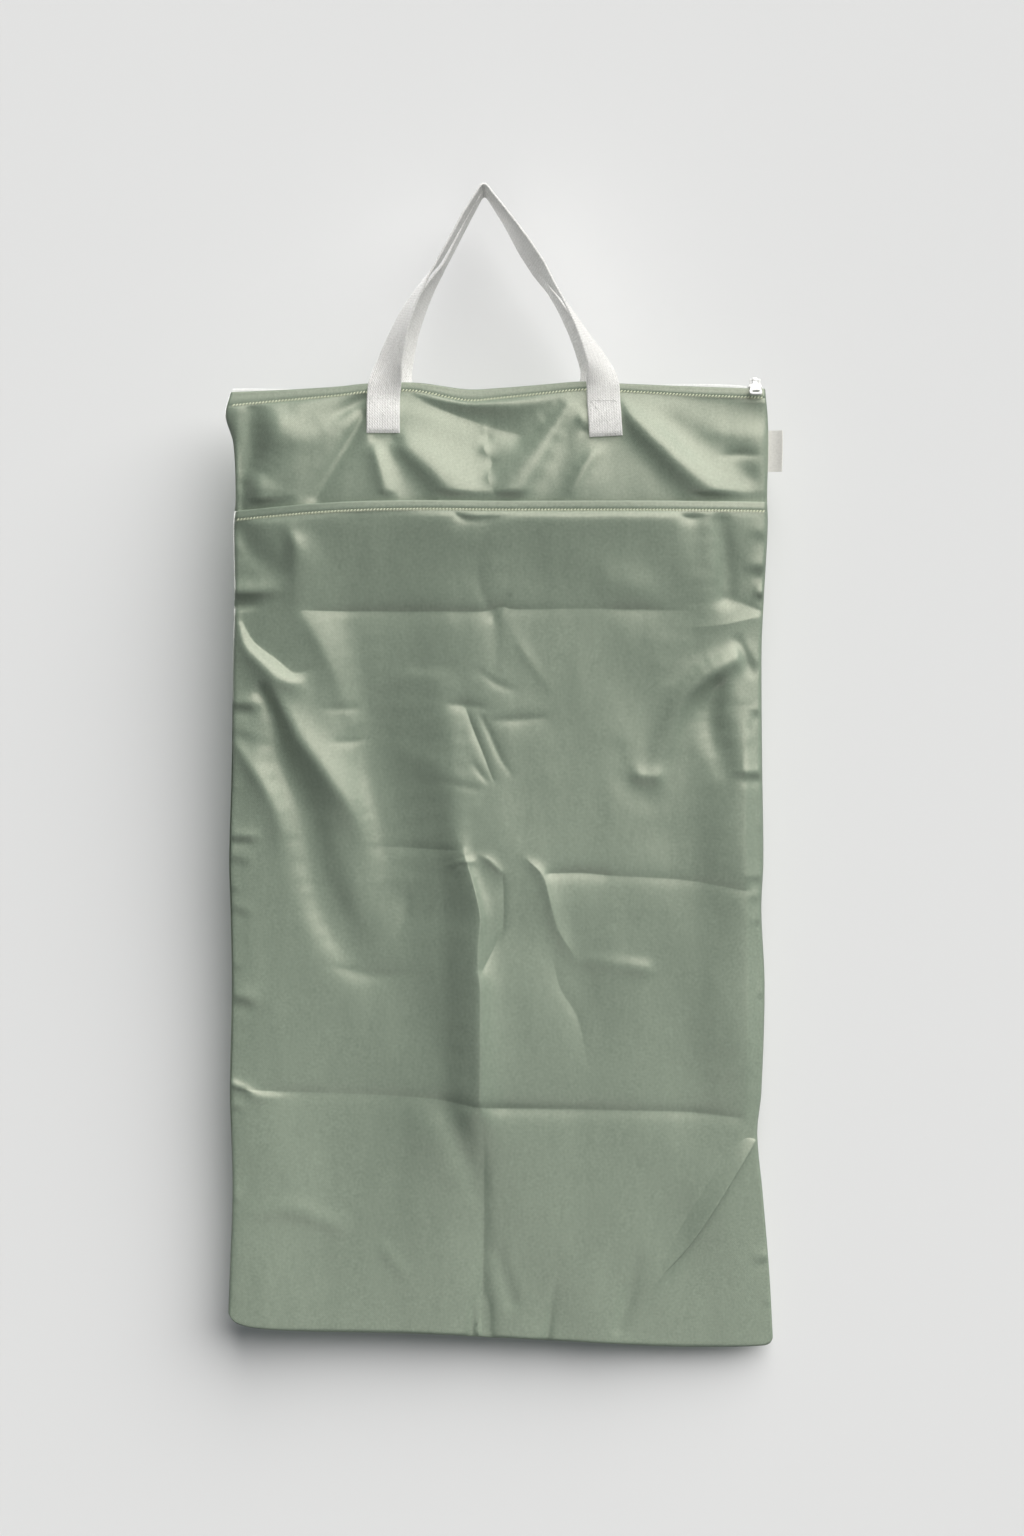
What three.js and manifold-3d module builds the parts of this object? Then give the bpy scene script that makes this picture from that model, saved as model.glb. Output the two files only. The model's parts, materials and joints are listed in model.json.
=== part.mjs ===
// Hanging wet bag: a flat zip-top pouch of coated cloth with an open outer pocket and two webbing handles.
// Millimetres, +Z up. The origin is where the handles hang. The front faces -Y and +X is its right side.
// In the tables, down is the distance below the origin and rise is how far a fold stands out of the cloth.
import * as THREE from 'three';
import { mergeVertices } from 'three/addons/utils/BufferGeometryUtils.js';
import loadManifold from 'manifold-3d';

const wasm = await loadManifold();
wasm.setup();

// Cloth walls and the clearance between neighbouring pieces
const CLOTH = 1.2;
const HEM = 2.2;
const HEM_DEEP = 8;
const HEM_STEP = 1.5;
const GAP = 0.3;

// Half depths of the bag, measured from the zip's middle plane to the outer face of a panel
const SEAM_HALF = CLOTH + GAP / 2;
const ZIP_HALF = 5;
const BELLY_HALF = 9.5;
const POCKET_ROOM = 8.5;

// How far from each edge the panels take to fill out
const SIDE_EASE = 60;
const BOTTOM_EASE = 70;
const TOP_EASE = 140;
const CORNER_BOX = 11;
const CORNER_EASE = 20;
const PATCH_MARGIN = 9;

// Outline of the bag
const SIDE_SEAMS = [
  { down: 140, left: -191, right: 211 },
  { down: 152, left: -191.5, right: 212 },
  { down: 169, left: -195, right: 213.5 },
  { down: 190, left: -189, right: 214 },
  { down: 230, left: -187, right: 213 },
  { down: 252, left: -188.5, right: 213.5 },
  { down: 310, left: -188, right: 210.5 },
  { down: 345, left: -189, right: 209 },
  { down: 430, left: -190, right: 209.5 },
  { down: 505, left: -192, right: 210.5 },
  { down: 541, left: -191, right: 209 },
  { down: 600, left: -190, right: 211.5 },
  { down: 680, left: -191.5, right: 209 },
  { down: 710, left: -190.5, right: 206 },
  { down: 755, left: -189.5, right: 210 },
  { down: 815, left: -191.5, right: 215 },
  { down: 870, left: -193.5, right: 218 },
];
const TOP_EDGE = [
  { x: -192, down: 152 },
  { x: -155, down: 150.5 },
  { x: -112, down: 148 },
  { x: -87, down: 145.5 },
  { x: -51, down: 145 },
  { x: -12, down: 150 },
  { x: 11, down: 149 },
  { x: 43, down: 146.5 },
  { x: 75, down: 144 },
  { x: 101, down: 145.5 },
  { x: 165, down: 148 },
  { x: 213, down: 149.5 },
];
const BOTTOM_EDGE = [
  { x: -194, down: 843 },
  { x: -190, down: 850 },
  { x: -184, down: 854 },
  { x: -170, down: 857 },
  { x: -140, down: 859 },
  { x: -55, down: 861 },
  { x: 43, down: 866 },
  { x: 135, down: 871 },
  { x: 180, down: 871.5 },
  { x: 218, down: 869 },
];
const POCKET_MOUTH = [
  { x: -188, down: 242 },
  { x: -112, down: 236.5 },
  { x: -48, down: 235 },
  { x: 12, down: 235.5 },
  { x: 213, down: 235 },
];

// Folds: each runs from (x0, down0) to (x1, down1), reach is its half width
const FRONT_FOLDS = [
  { name: 'left corner dent', x0: -166, down0: 176, x1: -169, down1: 226, reach: 12, rise: -3 },
  { name: 'left patch, outer pull', x0: -90, down0: 160, x1: -121, down1: 176, reach: 7, rise: -2 },
  { name: 'left patch, long pull', x0: -90, down0: 172, x1: -125, down1: 226, reach: 8, rise: -2.5 },
  { name: 'left patch, lower pull', x0: -84, down0: 190, x1: -80, down1: 222, reach: 7, rise: -2 },
  { name: 'left patch, inner hollow', x0: -72, down0: 190, x1: -24, down1: 228, reach: 10, rise: -3 },
  { name: 'left patch, inner ridge', x0: -52, down0: 182, x1: -8, down1: 230, reach: 9, rise: 2.5 },
  { name: 'centre hollow, left leg', x0: -22, down0: 162, x1: 32, down1: 180, reach: 11, rise: -3 },
  { name: 'centre hollow, right leg', x0: 32, down0: 180, x1: 61, down1: 162, reach: 10, rise: -3 },
  { name: 'centre ridge', x0: 56, down0: 170, x1: 16, down1: 228, reach: 9, rise: 2.5 },
  { name: 'right patch, hollow', x0: 106, down0: 166, x1: 150, down1: 224, reach: 8, rise: -2.5 },
  { name: 'right patch, ridge', x0: 118, down0: 166, x1: 186, down1: 226, reach: 9, rise: 3 },
  { name: 'right patch, lower pull', x0: 87, down0: 192, x1: 68, down1: 228, reach: 8, rise: -1.5 },
];
const POCKET_FOLDS = [
  { name: 'upper packing crease', x0: -138, down0: 317, x1: 208, down1: 314, reach: 10, rise: -2.2 },
  { name: 'middle crease, left', x0: -71, down0: 496, x1: -19, down1: 498, reach: 8, rise: -1.3 },
  { name: 'middle crease, right', x0: 49, down0: 514, x1: 194, down1: 526, reach: 9, rise: -1.5 },
  { name: 'lower packing crease, left', x0: -185, down0: 677, x1: 12, down1: 689, reach: 10, rise: -2 },
  { name: 'lower packing crease, right', x0: 12, down0: 689, x1: 194, down1: 698, reach: 10, rise: -2 },
  { name: 'centre ridge', x0: -2, down0: 514, x1: -2, down1: 684, reach: 14, rise: 2.5 },
  { name: 'centre pinch', x0: -3, down0: 704, x1: -4, down1: 858, reach: 10, rise: -1.8 },
  { name: 'left seam fold', x0: -180, down0: 326, x1: -155, down1: 371, reach: 9, rise: 2.5 },
  { name: 'left diagonal ridge', x0: -155, down0: 377, x1: -88, down1: 487, reach: 13, rise: 3 },
  { name: 'left diagonal hollow', x0: -176, down0: 390, x1: -118, down1: 497, reach: 15, rise: -2.5 },
  { name: 'right diagonal ridge', x0: 173, down0: 358, x1: 128, down1: 438, reach: 14, rise: 2.5 },
  { name: 'slack fold', x0: 47, down0: 534, x1: 70, down1: 577, reach: 10, rise: 2 },
  { name: 'corner fold, upper lip', x0: 198, down0: 712, x1: 111, down1: 845, reach: 10, rise: 3.5 },
  { name: 'corner fold, shadow side', x0: 208, down0: 722, x1: 124, down1: 852, reach: 8, rise: -2.5 },
  { name: 'lower left swell', x0: -177, down0: 772, x1: -110, down1: 781, reach: 14, rise: 1.5 },
];
const BACK_FOLDS = [
  { name: 'upper packing crease', x0: -170, down0: 316, x1: 190, down1: 315, reach: 11, rise: -2 },
  { name: 'middle packing crease', x0: -170, down0: 503, x1: 190, down1: 515, reach: 11, rise: -1.6 },
  { name: 'lower packing crease', x0: -170, down0: 680, x1: 190, down1: 697, reach: 11, rise: -2 },
  { name: 'centre crease', x0: -2, down0: 330, x1: -2, down1: 850, reach: 12, rise: 2 },
  { name: 'left patch pull', x0: -80, down0: 192, x1: -130, down1: 250, reach: 10, rise: -2 },
  { name: 'right patch pull', x0: 96, down0: 192, x1: 140, down1: 250, reach: 10, rise: -2 },
];
const SEAM_PUCKERS = { long: 26, reach: 5, rise: 1.8 };
const LEFT_PUCKERS_DOWN = [309, 397, 497, 603, 674];
const RIGHT_PUCKERS_DOWN = [394, 438, 522, 552, 604, 800];

// Grids of the panels: stops along a side in millimetres from its start, and the steps up to the next stop
const ACROSS = [
  { at: 0, steps: 1 },
  { at: 4, steps: 1 },
  { at: 12, steps: 1 },
  { at: 25, steps: 1 },
  { at: 42, steps: 17 },
  { at: 358, steps: 1 },
  { at: 375, steps: 1 },
  { at: 388, steps: 1 },
  { at: 396, steps: 1 },
  { at: 400, steps: 1 },
];
const ACROSS_BACK = [
  { at: 0, steps: 1 },
  { at: 6, steps: 1 },
  { at: 20, steps: 1 },
  { at: 42, steps: 9 },
  { at: 358, steps: 1 },
  { at: 380, steps: 1 },
  { at: 394, steps: 1 },
  { at: 400, steps: 1 },
];
const FRONT_ROWS = [
  { at: 0, steps: 1 },
  { at: HEM_DEEP, steps: 1 },
  { at: HEM_DEEP + HEM_STEP, steps: 9 },
  { at: 100, steps: 15 },
  { at: 660, steps: 2 },
  { at: 692, steps: 2 },
  { at: 716, steps: 1 },
  { at: 720, steps: 1 },
];
const BACK_ROWS = [
  { at: 0, steps: 1 },
  { at: HEM_DEEP, steps: 1 },
  { at: HEM_DEEP + HEM_STEP, steps: 5 },
  { at: 150, steps: 4 },
  { at: 190, steps: 5 },
  { at: 380, steps: 4 },
  { at: 560, steps: 2 },
  { at: 650, steps: 2 },
  { at: 690, steps: 2 },
  { at: 716, steps: 1 },
  { at: 720, steps: 1 },
];
const POCKET_ROWS = [
  { at: 0, steps: 1 },
  { at: HEM_DEEP, steps: 1 },
  { at: HEM_DEEP + HEM_STEP, steps: 3 },
  { at: 70, steps: 2 },
  { at: 92, steps: 8 },
  { at: 264, steps: 3 },
  { at: 294, steps: 6 },
  { at: 442, steps: 3 },
  { at: 472, steps: 5 },
  { at: 570, steps: 2 },
  { at: 602, steps: 2 },
  { at: 626, steps: 1 },
  { at: 630, steps: 1 },
];

// Zip: tapes stand inside the hems with the coil between them, and rise is its height above the hem
const TAPE = 0.8;
const TAPE_HIGH = 10;
const COIL_HALF = ZIP_HALF - HEM - TAPE - 2 * GAP;
const COIL_HIGH = 2.2;
const COIL_CROWN = 0.5;
const COIL_SHOULDER = 1 / 3;
const ZIP_INSET = 2;
const ZIP_RISE = [
  { x: -195, rise: 2.2 },
  { x: -140, rise: 1 },
  { x: -70, rise: -0.5 },
  { x: 60, rise: -0.5 },
  { x: 140, rise: 0.8 },
  { x: 213, rise: 1.2 },
];

// Slider and pull tab
const SLIDER = { x: 204, long: 10.5, high: 1.6, half: 3.4, topHalf: 2.2, chamferLow: 0.4 };
const FLANGE = { drop: 0.9, inner: COIL_HALF + GAP + TAPE + GAP };
const BRIDGE = { half: 3.4, cornerRadius: 1.1, wireRadius: 0.9, axisAbovePlate: 3.6, foot: 0.6 };
const EYE = { innerRadius: 1.25, outerRadius: 2, half: 1.7 };
const TAB = {
  thick: 1.4,
  start: 1.55,
  neckHalf: 1.7,
  neckEnd: 4.6,
  shoulder: 6.5,
  shoulderHalf: 3.4,
  half: 4.7,
  end: 17.5,
};
const TAB_CORNER = 2;
const TAB_SLOT = { from: 14, halfWide: 2.9, radius: 1.3 };
const PULL_LEAN = THREE.MathUtils.degToRad(46);
const WIRE_SIDES = 10;
const WIRE_STEPS = 20;
const EYE_SIDES = 14;
const CORNER_SEGMENTS = 5;

// Webbing handles: turn is the twist of the strap in degrees, 0 flat to the panel and 90 edge on
const WEBBING = { wide: 25, thick: 1.5 };
const STRAP_STEPS = 3;
const FRONT_HANDLE = [
  { x: -75.5, down: 184, turn: 0, sewn: true },
  { x: -75.5, down: 170, turn: 0, sewn: true },
  { x: -75.5, down: 157, turn: 0, sewn: true },
  { x: -74.5, down: 147, out: 9.6, turn: 6 },
  { x: -70, down: 131, out: 10.6, turn: 44 },
  { x: -62, down: 106, out: 12.3, turn: 66 },
  { x: -54.5, down: 88, out: 13, turn: 72 },
  { x: -44, down: 69, out: 13.3, turn: 82 },
  { x: -33.5, down: 54, out: 13.3, turn: 90 },
  { x: -15, down: 21, out: 13.3, turn: 92 },
  { x: -5, down: 5.2, out: 13.3, turn: 90 },
  { x: 0, down: -0.75, out: 13.3, turn: 90 },
  { x: 5, down: 4.4, out: 13.3, turn: 90 },
  { x: 18.5, down: 22, out: 13.3, turn: 94 },
  { x: 32, down: 41, out: 13.3, turn: 102 },
  { x: 44, down: 58, out: 13.3, turn: 104 },
  { x: 53, down: 73, out: 13.3, turn: 97 },
  { x: 61, down: 86, out: 13.3, turn: 88 },
  { x: 70, down: 101, out: 13.2, turn: 80 },
  { x: 77, down: 114, out: 12.8, turn: 74 },
  { x: 85.5, down: 131, out: 10.8, turn: 50 },
  { x: 89.5, down: 147, out: 9.6, turn: 8 },
  { x: 90.5, down: 159, turn: 0, sewn: true },
  { x: 90.5, down: 172, turn: 0, sewn: true },
  { x: 90.5, down: 186, turn: 0, sewn: true },
];
const BACK_HANDLE_INSET = { left: 7, right: 6 };

// Ribbon label, folded at its outer edge
const LABEL = { top: 181, high: 31, wide: 10.5, thick: 1.2, curl: 1.5, slices: 4 };

const clamp01 = (t) => Math.min(Math.max(t, 0), 1);
const ease = (t) => clamp01(t) * (2 - clamp01(t));
const lerp = THREE.MathUtils.lerp;

// Smooth curve through a table: value as a function of the column named key
function tableCurve(rows, key, value) {
  const last = rows.length - 1;
  const slope = (i) => {
    const a = rows[Math.max(i - 1, 0)];
    const b = rows[Math.min(i + 1, last)];
    return (b[value] - a[value]) / (b[key] - a[key]);
  };
  return (at) => {
    const t = Math.min(Math.max(at, rows[0][key]), rows[last][key]);
    const found = rows.findIndex((row) => row[key] >= t);
    const i = Math.max(found - 1, 0);
    const span = rows[i + 1][key] - rows[i][key];
    const s = (t - rows[i][key]) / span;
    const rise = s * s * (3 - 2 * s);
    const start = s * (1 - s) * (1 - s) * span * slope(i);
    const end = s * s * (s - 1) * span * slope(i + 1);
    return lerp(rows[i][value], rows[i + 1][value], rise) + start + end;
  };
}

const leftSeam = tableCurve(SIDE_SEAMS, 'down', 'left');
const rightSeam = tableCurve(SIDE_SEAMS, 'down', 'right');
const topEdge = tableCurve(TOP_EDGE, 'x', 'down');
const bottomEdge = tableCurve(BOTTOM_EDGE, 'x', 'down');
const pocketMouth = tableCurve(POCKET_MOUTH, 'x', 'down');
const zipRise = tableCurve(ZIP_RISE, 'x', 'rise');

// Fractions along a grid side, from a table of stops
function ladder(stops) {
  const whole = stops[stops.length - 1].at;
  const fractions = [];
  stops.slice(0, -1).forEach((stop, i) => {
    for (let k = 0; k < stop.steps; k += 1) {
      fractions.push(lerp(stop.at, stops[i + 1].at, k / stop.steps) / whole);
    }
  });
  return [...fractions, 1];
}

// Place on the bag's outline: u runs from the left to the right seam, v from the upper edge to the bottom
function outlinePoint(u, v, upperEdge) {
  const guess = lerp(upperEdge(0), bottomEdge(0), v);
  const roughX = lerp(leftSeam(guess), rightSeam(guess), u);
  const down = lerp(upperEdge(roughX), bottomEdge(roughX), v);
  return { x: lerp(leftSeam(down), rightSeam(down), u), down };
}

// Distance from a point to a fold's line, and the height that all folds give there
function distanceToFold(fold, x, down) {
  const dx = fold.x1 - fold.x0;
  const dd = fold.down1 - fold.down0;
  const along = clamp01(((x - fold.x0) * dx + (down - fold.down0) * dd) / (dx * dx + dd * dd));
  return Math.hypot(x - fold.x0 - along * dx, down - fold.down0 - along * dd);
}

function foldRise(folds, x, down) {
  return folds.reduce((sum, fold) => {
    const d = distanceToFold(fold, x, down) / fold.reach;
    return sum + fold.rise * Math.exp(-d * d);
  }, 0);
}

function puckerFolds() {
  const { long, reach, rise } = SEAM_PUCKERS;
  const fold = (x0, x1, down) => ({ x0, down0: down, x1, down1: down, reach, rise });
  const left = LEFT_PUCKERS_DOWN.map((down) => fold(leftSeam(down), leftSeam(down) + long, down));
  const right = RIGHT_PUCKERS_DOWN.map((down) => fold(rightSeam(down) - long, rightSeam(down), down));
  return [...left, ...right];
}

// How full a panel is at a point: 0 at the seams, 1 well inside
function fullness(x, down) {
  const toSide = Math.min(x - leftSeam(down), rightSeam(down) - x);
  return ease(toSide / SIDE_EASE) * ease((bottomEdge(x) - down) / BOTTOM_EASE);
}

function smoothDepth(x, down) {
  const belowTop = down - topEdge(x);
  const corner = 1 - ease((belowTop - CORNER_BOX) / CORNER_EASE);
  const seam = lerp(SEAM_HALF, ZIP_HALF, corner);
  const middle = lerp(ZIP_HALF, BELLY_HALF, ease(belowTop / TOP_EASE));
  return lerp(seam, middle, fullness(x, down));
}

// Folds fade out at the hem, at the seams and under the sewn strap ends
function foldRoom(x, down, handle) {
  const hemClear = ease((down - topEdge(x) - HEM_DEEP) / CORNER_EASE);
  const toSide = Math.min(x - leftSeam(down), rightSeam(down) - x);
  const patches = handle.filter((row) => row.sewn);
  const toPatch = patches.map((row) => Math.hypot(
    Math.max(Math.abs(x - row.x) - WEBBING.wide / 2 - PATCH_MARGIN, 0),
    Math.max(Math.abs(down - row.down) - PATCH_MARGIN, 0),
  ));
  return hemClear * ease(toSide / CORNER_EASE) * ease(Math.min(...toPatch) / CORNER_EASE);
}

// The back handle is sewn a little closer to the middle than the front one
function backHandleRows() {
  const { left, right } = BACK_HANDLE_INSET;
  return FRONT_HANDLE.map((row) => {
    const share = Math.abs(row.x) / (row.x < 0 ? -FRONT_HANDLE[0].x : FRONT_HANDLE.at(-1).x);
    return { ...row, x: row.x + share * (row.x < 0 ? left : -right) };
  });
}
const BACK_HANDLE = backHandleRows();

function frontDepth(x, down) {
  const behindPocket = 1 - ease((down - pocketMouth(x)) / CORNER_EASE);
  const rise = foldRise(FRONT_FOLDS, x, down) * foldRoom(x, down, FRONT_HANDLE) * behindPocket;
  return smoothDepth(x, down) + rise;
}

function backDepth(x, down) {
  const room = foldRoom(x, down, BACK_HANDLE) * fullness(x, down);
  return smoothDepth(x, down) + foldRise(BACK_FOLDS, x, down) * room;
}

const POCKET_RELIEF = [...POCKET_FOLDS, ...puckerFolds()];

function pocketDepth(x, down, wall) {
  const closed = smoothDepth(x, down) + GAP + wall;
  const hemClear = ease((down - pocketMouth(x) - HEM_DEEP) / CORNER_EASE);
  const room = POCKET_ROOM * fullness(x, down);
  return Math.max(closed + room + foldRise(POCKET_RELIEF, x, down) * hemClear, closed);
}

const hemWall = (belowEdge) => lerp(HEM, CLOTH, clamp01((belowEdge - HEM_DEEP) / HEM_STEP));

// Geometry helpers: closed bodies from vertices and triangles, with the faces turned outwards
function closedBody(vertices, triangles) {
  const corner = (i) => vertices[i];
  const volume = triangles.reduce((sum, [a, b, c]) => {
    const cross = new THREE.Vector3().crossVectors(corner(b), corner(c));
    return sum + corner(a).dot(cross);
  }, 0);
  const faces = volume < 0 ? triangles.map(([a, b, c]) => [a, c, b]) : triangles;
  const geometry = new THREE.BufferGeometry().setFromPoints(vertices);
  geometry.setIndex(faces.flat());
  geometry.computeVertexNormals();
  return geometry;
}

// Wall between two faces: near and far give the points of each face over the grid of us and vs
function wallBody(us, vs, near, far) {
  const wide = us.length;
  const size = wide * vs.length;
  const grid = (face) => vs.flatMap((v) => us.map((u) => face(u, v)));
  const vertices = [...grid(near), ...grid(far)];
  const triangles = [];
  const quad = (a, b, c, d) => triangles.push([a, b, c], [a, c, d]);
  for (let j = 0; j < vs.length - 1; j += 1) {
    for (let i = 0; i < wide - 1; i += 1) {
      const a = j * wide + i;
      quad(a, a + wide, a + wide + 1, a + 1);
      quad(size + a, size + a + 1, size + a + wide + 1, size + a + wide);
    }
  }
  for (let i = 0; i < wide - 1; i += 1) {
    const low = size - wide + i;
    quad(i, i + 1, size + i + 1, size + i);
    quad(low, size + low, size + low + 1, low + 1);
  }
  for (let j = 0; j < vs.length - 1; j += 1) {
    const left = j * wide;
    const right = left + wide - 1;
    quad(left, size + left, size + left + wide, left + wide);
    quad(right, right + wide, size + right + wide, size + right);
  }
  return closedBody(vertices, triangles);
}

// Body swept through four-cornered sections
function sweptBody(sections) {
  const vertices = sections.flat();
  const sides = sections[0].length;
  const triangles = [];
  sections.slice(0, -1).forEach((_, s) => {
    for (let k = 0; k < sides; k += 1) {
      const a = s * sides + k;
      const b = s * sides + ((k + 1) % sides);
      triangles.push([a, b, b + sides], [a, b + sides, a + sides]);
    }
  });
  const end = vertices.length - sides;
  triangles.push([0, 2, 1], [0, 3, 2], [end, end + 1, end + 2], [end, end + 2, end + 3]);
  return closedBody(vertices, triangles);
}

function joined(...geometries) {
  const solids = geometries.map((geometry) => {
    const bare = geometry.clone();
    bare.deleteAttribute('normal');
    bare.deleteAttribute('uv');
    const merged = mergeVertices(bare, 1e-4);
    return new wasm.Manifold(new wasm.Mesh({
      numProp: 3,
      vertProperties: merged.attributes.position.array,
      triVerts: new Uint32Array(merged.index.array),
    }));
  });
  const mesh = solids.reduce((whole, solid) => whole.add(solid)).getMesh();
  const geometry = new THREE.BufferGeometry();
  geometry.setAttribute('position', new THREE.BufferAttribute(mesh.vertProperties, 3));
  geometry.setIndex(new THREE.BufferAttribute(mesh.triVerts, 1));
  geometry.computeVertexNormals();
  return geometry;
}

// Panels
function panelBody(across, rows, upperEdge, depth, facing) {
  const face = (inset) => (u, v) => {
    const { x, down } = outlinePoint(u, v, upperEdge);
    const wall = hemWall(down - upperEdge(x));
    return new THREE.Vector3(x, facing * (depth(x, down, wall) - inset * wall), -down);
  };
  return wallBody(ladder(across), ladder(rows), face(0), face(1));
}

// Zip: u runs along the top edge, between ends that lie a little inside the side seams
function alongZip(u, inset) {
  const down = TOP_EDGE[0].down;
  return lerp(leftSeam(down) + inset, rightSeam(down) - inset, u);
}

function tapeBody(facing) {
  const outer = COIL_HALF + GAP + TAPE;
  const face = (y) => (u, v) => {
    const x = alongZip(u, ZIP_INSET);
    return new THREE.Vector3(x, facing * y, zipRise(x) - topEdge(x) - v * TAPE_HIGH);
  };
  return wallBody(ladder(ACROSS), [0, 1], face(outer), face(outer - TAPE));
}

function coilBody() {
  const face = (side) => (u, v) => {
    const x = alongZip(u, 2 * ZIP_INSET);
    const half = v === 0 ? COIL_HALF * COIL_CROWN : COIL_HALF;
    return new THREE.Vector3(x, side * half, zipRise(x) - topEdge(x) - v * COIL_HIGH);
  };
  return wallBody(ladder(ACROSS), [0, COIL_SHOULDER, 1], face(-1), face(1));
}

const sliderFoot = zipRise(SLIDER.x) - topEdge(SLIDER.x) + GAP;
const bridgeAxis = SLIDER.high + BRIDGE.axisAbovePlate;

// An extrusion along its own z becomes one along x, with its section standing in the y-z plane
function turnedUp(geometry) {
  const axes = new THREE.Matrix4().makeBasis(
    new THREE.Vector3(0, 1, 0),
    new THREE.Vector3(0, 0, 1),
    new THREE.Vector3(1, 0, 0),
  );
  return geometry.applyMatrix4(axes);
}

function sliderPlate() {
  const half = [
    [SLIDER.topHalf, SLIDER.high],
    [SLIDER.half, SLIDER.chamferLow],
    [SLIDER.half, -FLANGE.drop],
    [FLANGE.inner, -FLANGE.drop],
    [FLANGE.inner, 0],
  ];
  const mirrored = half.map(([y, z]) => [-y, z]).reverse();
  const shape = new THREE.Shape([...half, ...mirrored].map(([y, z]) => new THREE.Vector2(y, z)));
  const plate = new THREE.ExtrudeGeometry(shape, { depth: SLIDER.long, bevelEnabled: false });
  plate.translate(0, 0, -SLIDER.long / 2);
  return turnedUp(plate);
}

function roundOutline(radius, sides) {
  const points = [];
  for (let k = 0; k < sides; k += 1) {
    const angle = (2 * Math.PI * k) / sides;
    points.push(new THREE.Vector2(radius * Math.cos(angle), radius * Math.sin(angle)));
  }
  return points;
}

function sliderBridge() {
  const { half, cornerRadius, wireRadius, foot } = BRIDGE;
  const at = (x, z) => new THREE.Vector3(x, 0, z);
  const path = new THREE.CurvePath();
  path.add(new THREE.LineCurve3(at(-half, foot), at(-half, bridgeAxis - cornerRadius)));
  path.add(new THREE.QuadraticBezierCurve3(
    at(-half, bridgeAxis - cornerRadius), at(-half, bridgeAxis), at(-half + cornerRadius, bridgeAxis),
  ));
  path.add(new THREE.LineCurve3(at(-half + cornerRadius, bridgeAxis), at(half - cornerRadius, bridgeAxis)));
  path.add(new THREE.QuadraticBezierCurve3(
    at(half - cornerRadius, bridgeAxis), at(half, bridgeAxis), at(half, bridgeAxis - cornerRadius),
  ));
  path.add(new THREE.LineCurve3(at(half, bridgeAxis - cornerRadius), at(half, foot)));
  const wire = new THREE.Shape(roundOutline(wireRadius, WIRE_SIDES));
  return new THREE.ExtrudeGeometry(wire, { steps: WIRE_STEPS, extrudePath: path });
}

function pullTab() {
  const t = TAB;
  const shape = new THREE.Shape();
  shape.moveTo(-t.neckHalf, -t.start);
  shape.lineTo(-t.neckHalf, -t.neckEnd);
  shape.lineTo(-t.shoulderHalf, -t.shoulder);
  shape.lineTo(-t.half, -TAB_SLOT.from);
  shape.lineTo(-t.half, TAB_CORNER - t.end);
  shape.quadraticCurveTo(-t.half, -t.end, TAB_CORNER - t.half, -t.end);
  shape.lineTo(t.half - TAB_CORNER, -t.end);
  shape.quadraticCurveTo(t.half, -t.end, t.half, TAB_CORNER - t.end);
  shape.lineTo(t.half, -TAB_SLOT.from);
  shape.lineTo(t.shoulderHalf, -t.shoulder);
  shape.lineTo(t.neckHalf, -t.neckEnd);
  shape.lineTo(t.neckHalf, -t.start);
  const slot = new THREE.Path();
  const slotX = TAB_SLOT.halfWide - TAB_SLOT.radius;
  slot.absarc(slotX, -TAB_SLOT.from, TAB_SLOT.radius, -Math.PI / 2, Math.PI / 2, false);
  slot.absarc(-slotX, -TAB_SLOT.from, TAB_SLOT.radius, Math.PI / 2, 1.5 * Math.PI, false);
  shape.holes.push(slot);
  const plate = { depth: t.thick, bevelEnabled: false, curveSegments: CORNER_SEGMENTS };
  const tab = new THREE.ExtrudeGeometry(shape, plate);
  tab.translate(0, 0, -t.thick / 2);
  return tab.rotateX(Math.PI / 2);
}

function pullEye() {
  const ring = new THREE.Shape(roundOutline(EYE.outerRadius, EYE_SIDES));
  ring.holes.push(new THREE.Path(roundOutline(EYE.innerRadius, EYE_SIDES)));
  const eye = new THREE.ExtrudeGeometry(ring, { depth: 2 * EYE.half, bevelEnabled: false });
  eye.translate(0, 0, -EYE.half);
  return turnedUp(eye);
}

// Handles
function handleBody(rows, facing) {
  const thickness = rows.map((row) => (row.sewn ? 2 * WEBBING.thick : WEBBING.thick));
  const sewnOut = (row) => {
    const edges = [-1, 0, 1].map((side) => row.x + (side * WEBBING.wide) / 2);
    return Math.max(...edges.map((x) => smoothDepth(x, row.down))) + GAP + WEBBING.thick;
  };
  const middle = rows.map((row) => (
    new THREE.Vector3(row.x, facing * (row.sewn ? sewnOut(row) : row.out), -row.down)
  ));
  const path = new THREE.CatmullRomCurve3(middle);
  const count = (rows.length - 1) * STRAP_STEPS;
  const sections = [];
  for (let s = 0; s <= count; s += 1) {
    const i = Math.min(Math.floor(s / STRAP_STEPS), rows.length - 2);
    const share = s / STRAP_STEPS - i;
    const turn = THREE.MathUtils.degToRad(lerp(rows[i].turn, rows[i + 1].turn, share));
    const half = lerp(thickness[i], thickness[i + 1], share) / 2;
    const centre = path.getPoint(s / count);
    const along = path.getTangent(s / count);
    const flat = new THREE.Vector3(along.z, 0, -along.x).normalize();
    const edgeOn = new THREE.Vector3(0, facing, 0);
    const across = flat.multiplyScalar(Math.cos(turn)).addScaledVector(edgeOn, Math.sin(turn));
    const normal = new THREE.Vector3().crossVectors(across, along).normalize();
    sections.push([[1, 1], [-1, 1], [-1, -1], [1, -1]].map(([w, n]) => centre.clone()
      .addScaledVector(across, (w * WEBBING.wide) / 2)
      .addScaledVector(normal, n * half)));
  }
  return sweptBody(sections);
}

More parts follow.
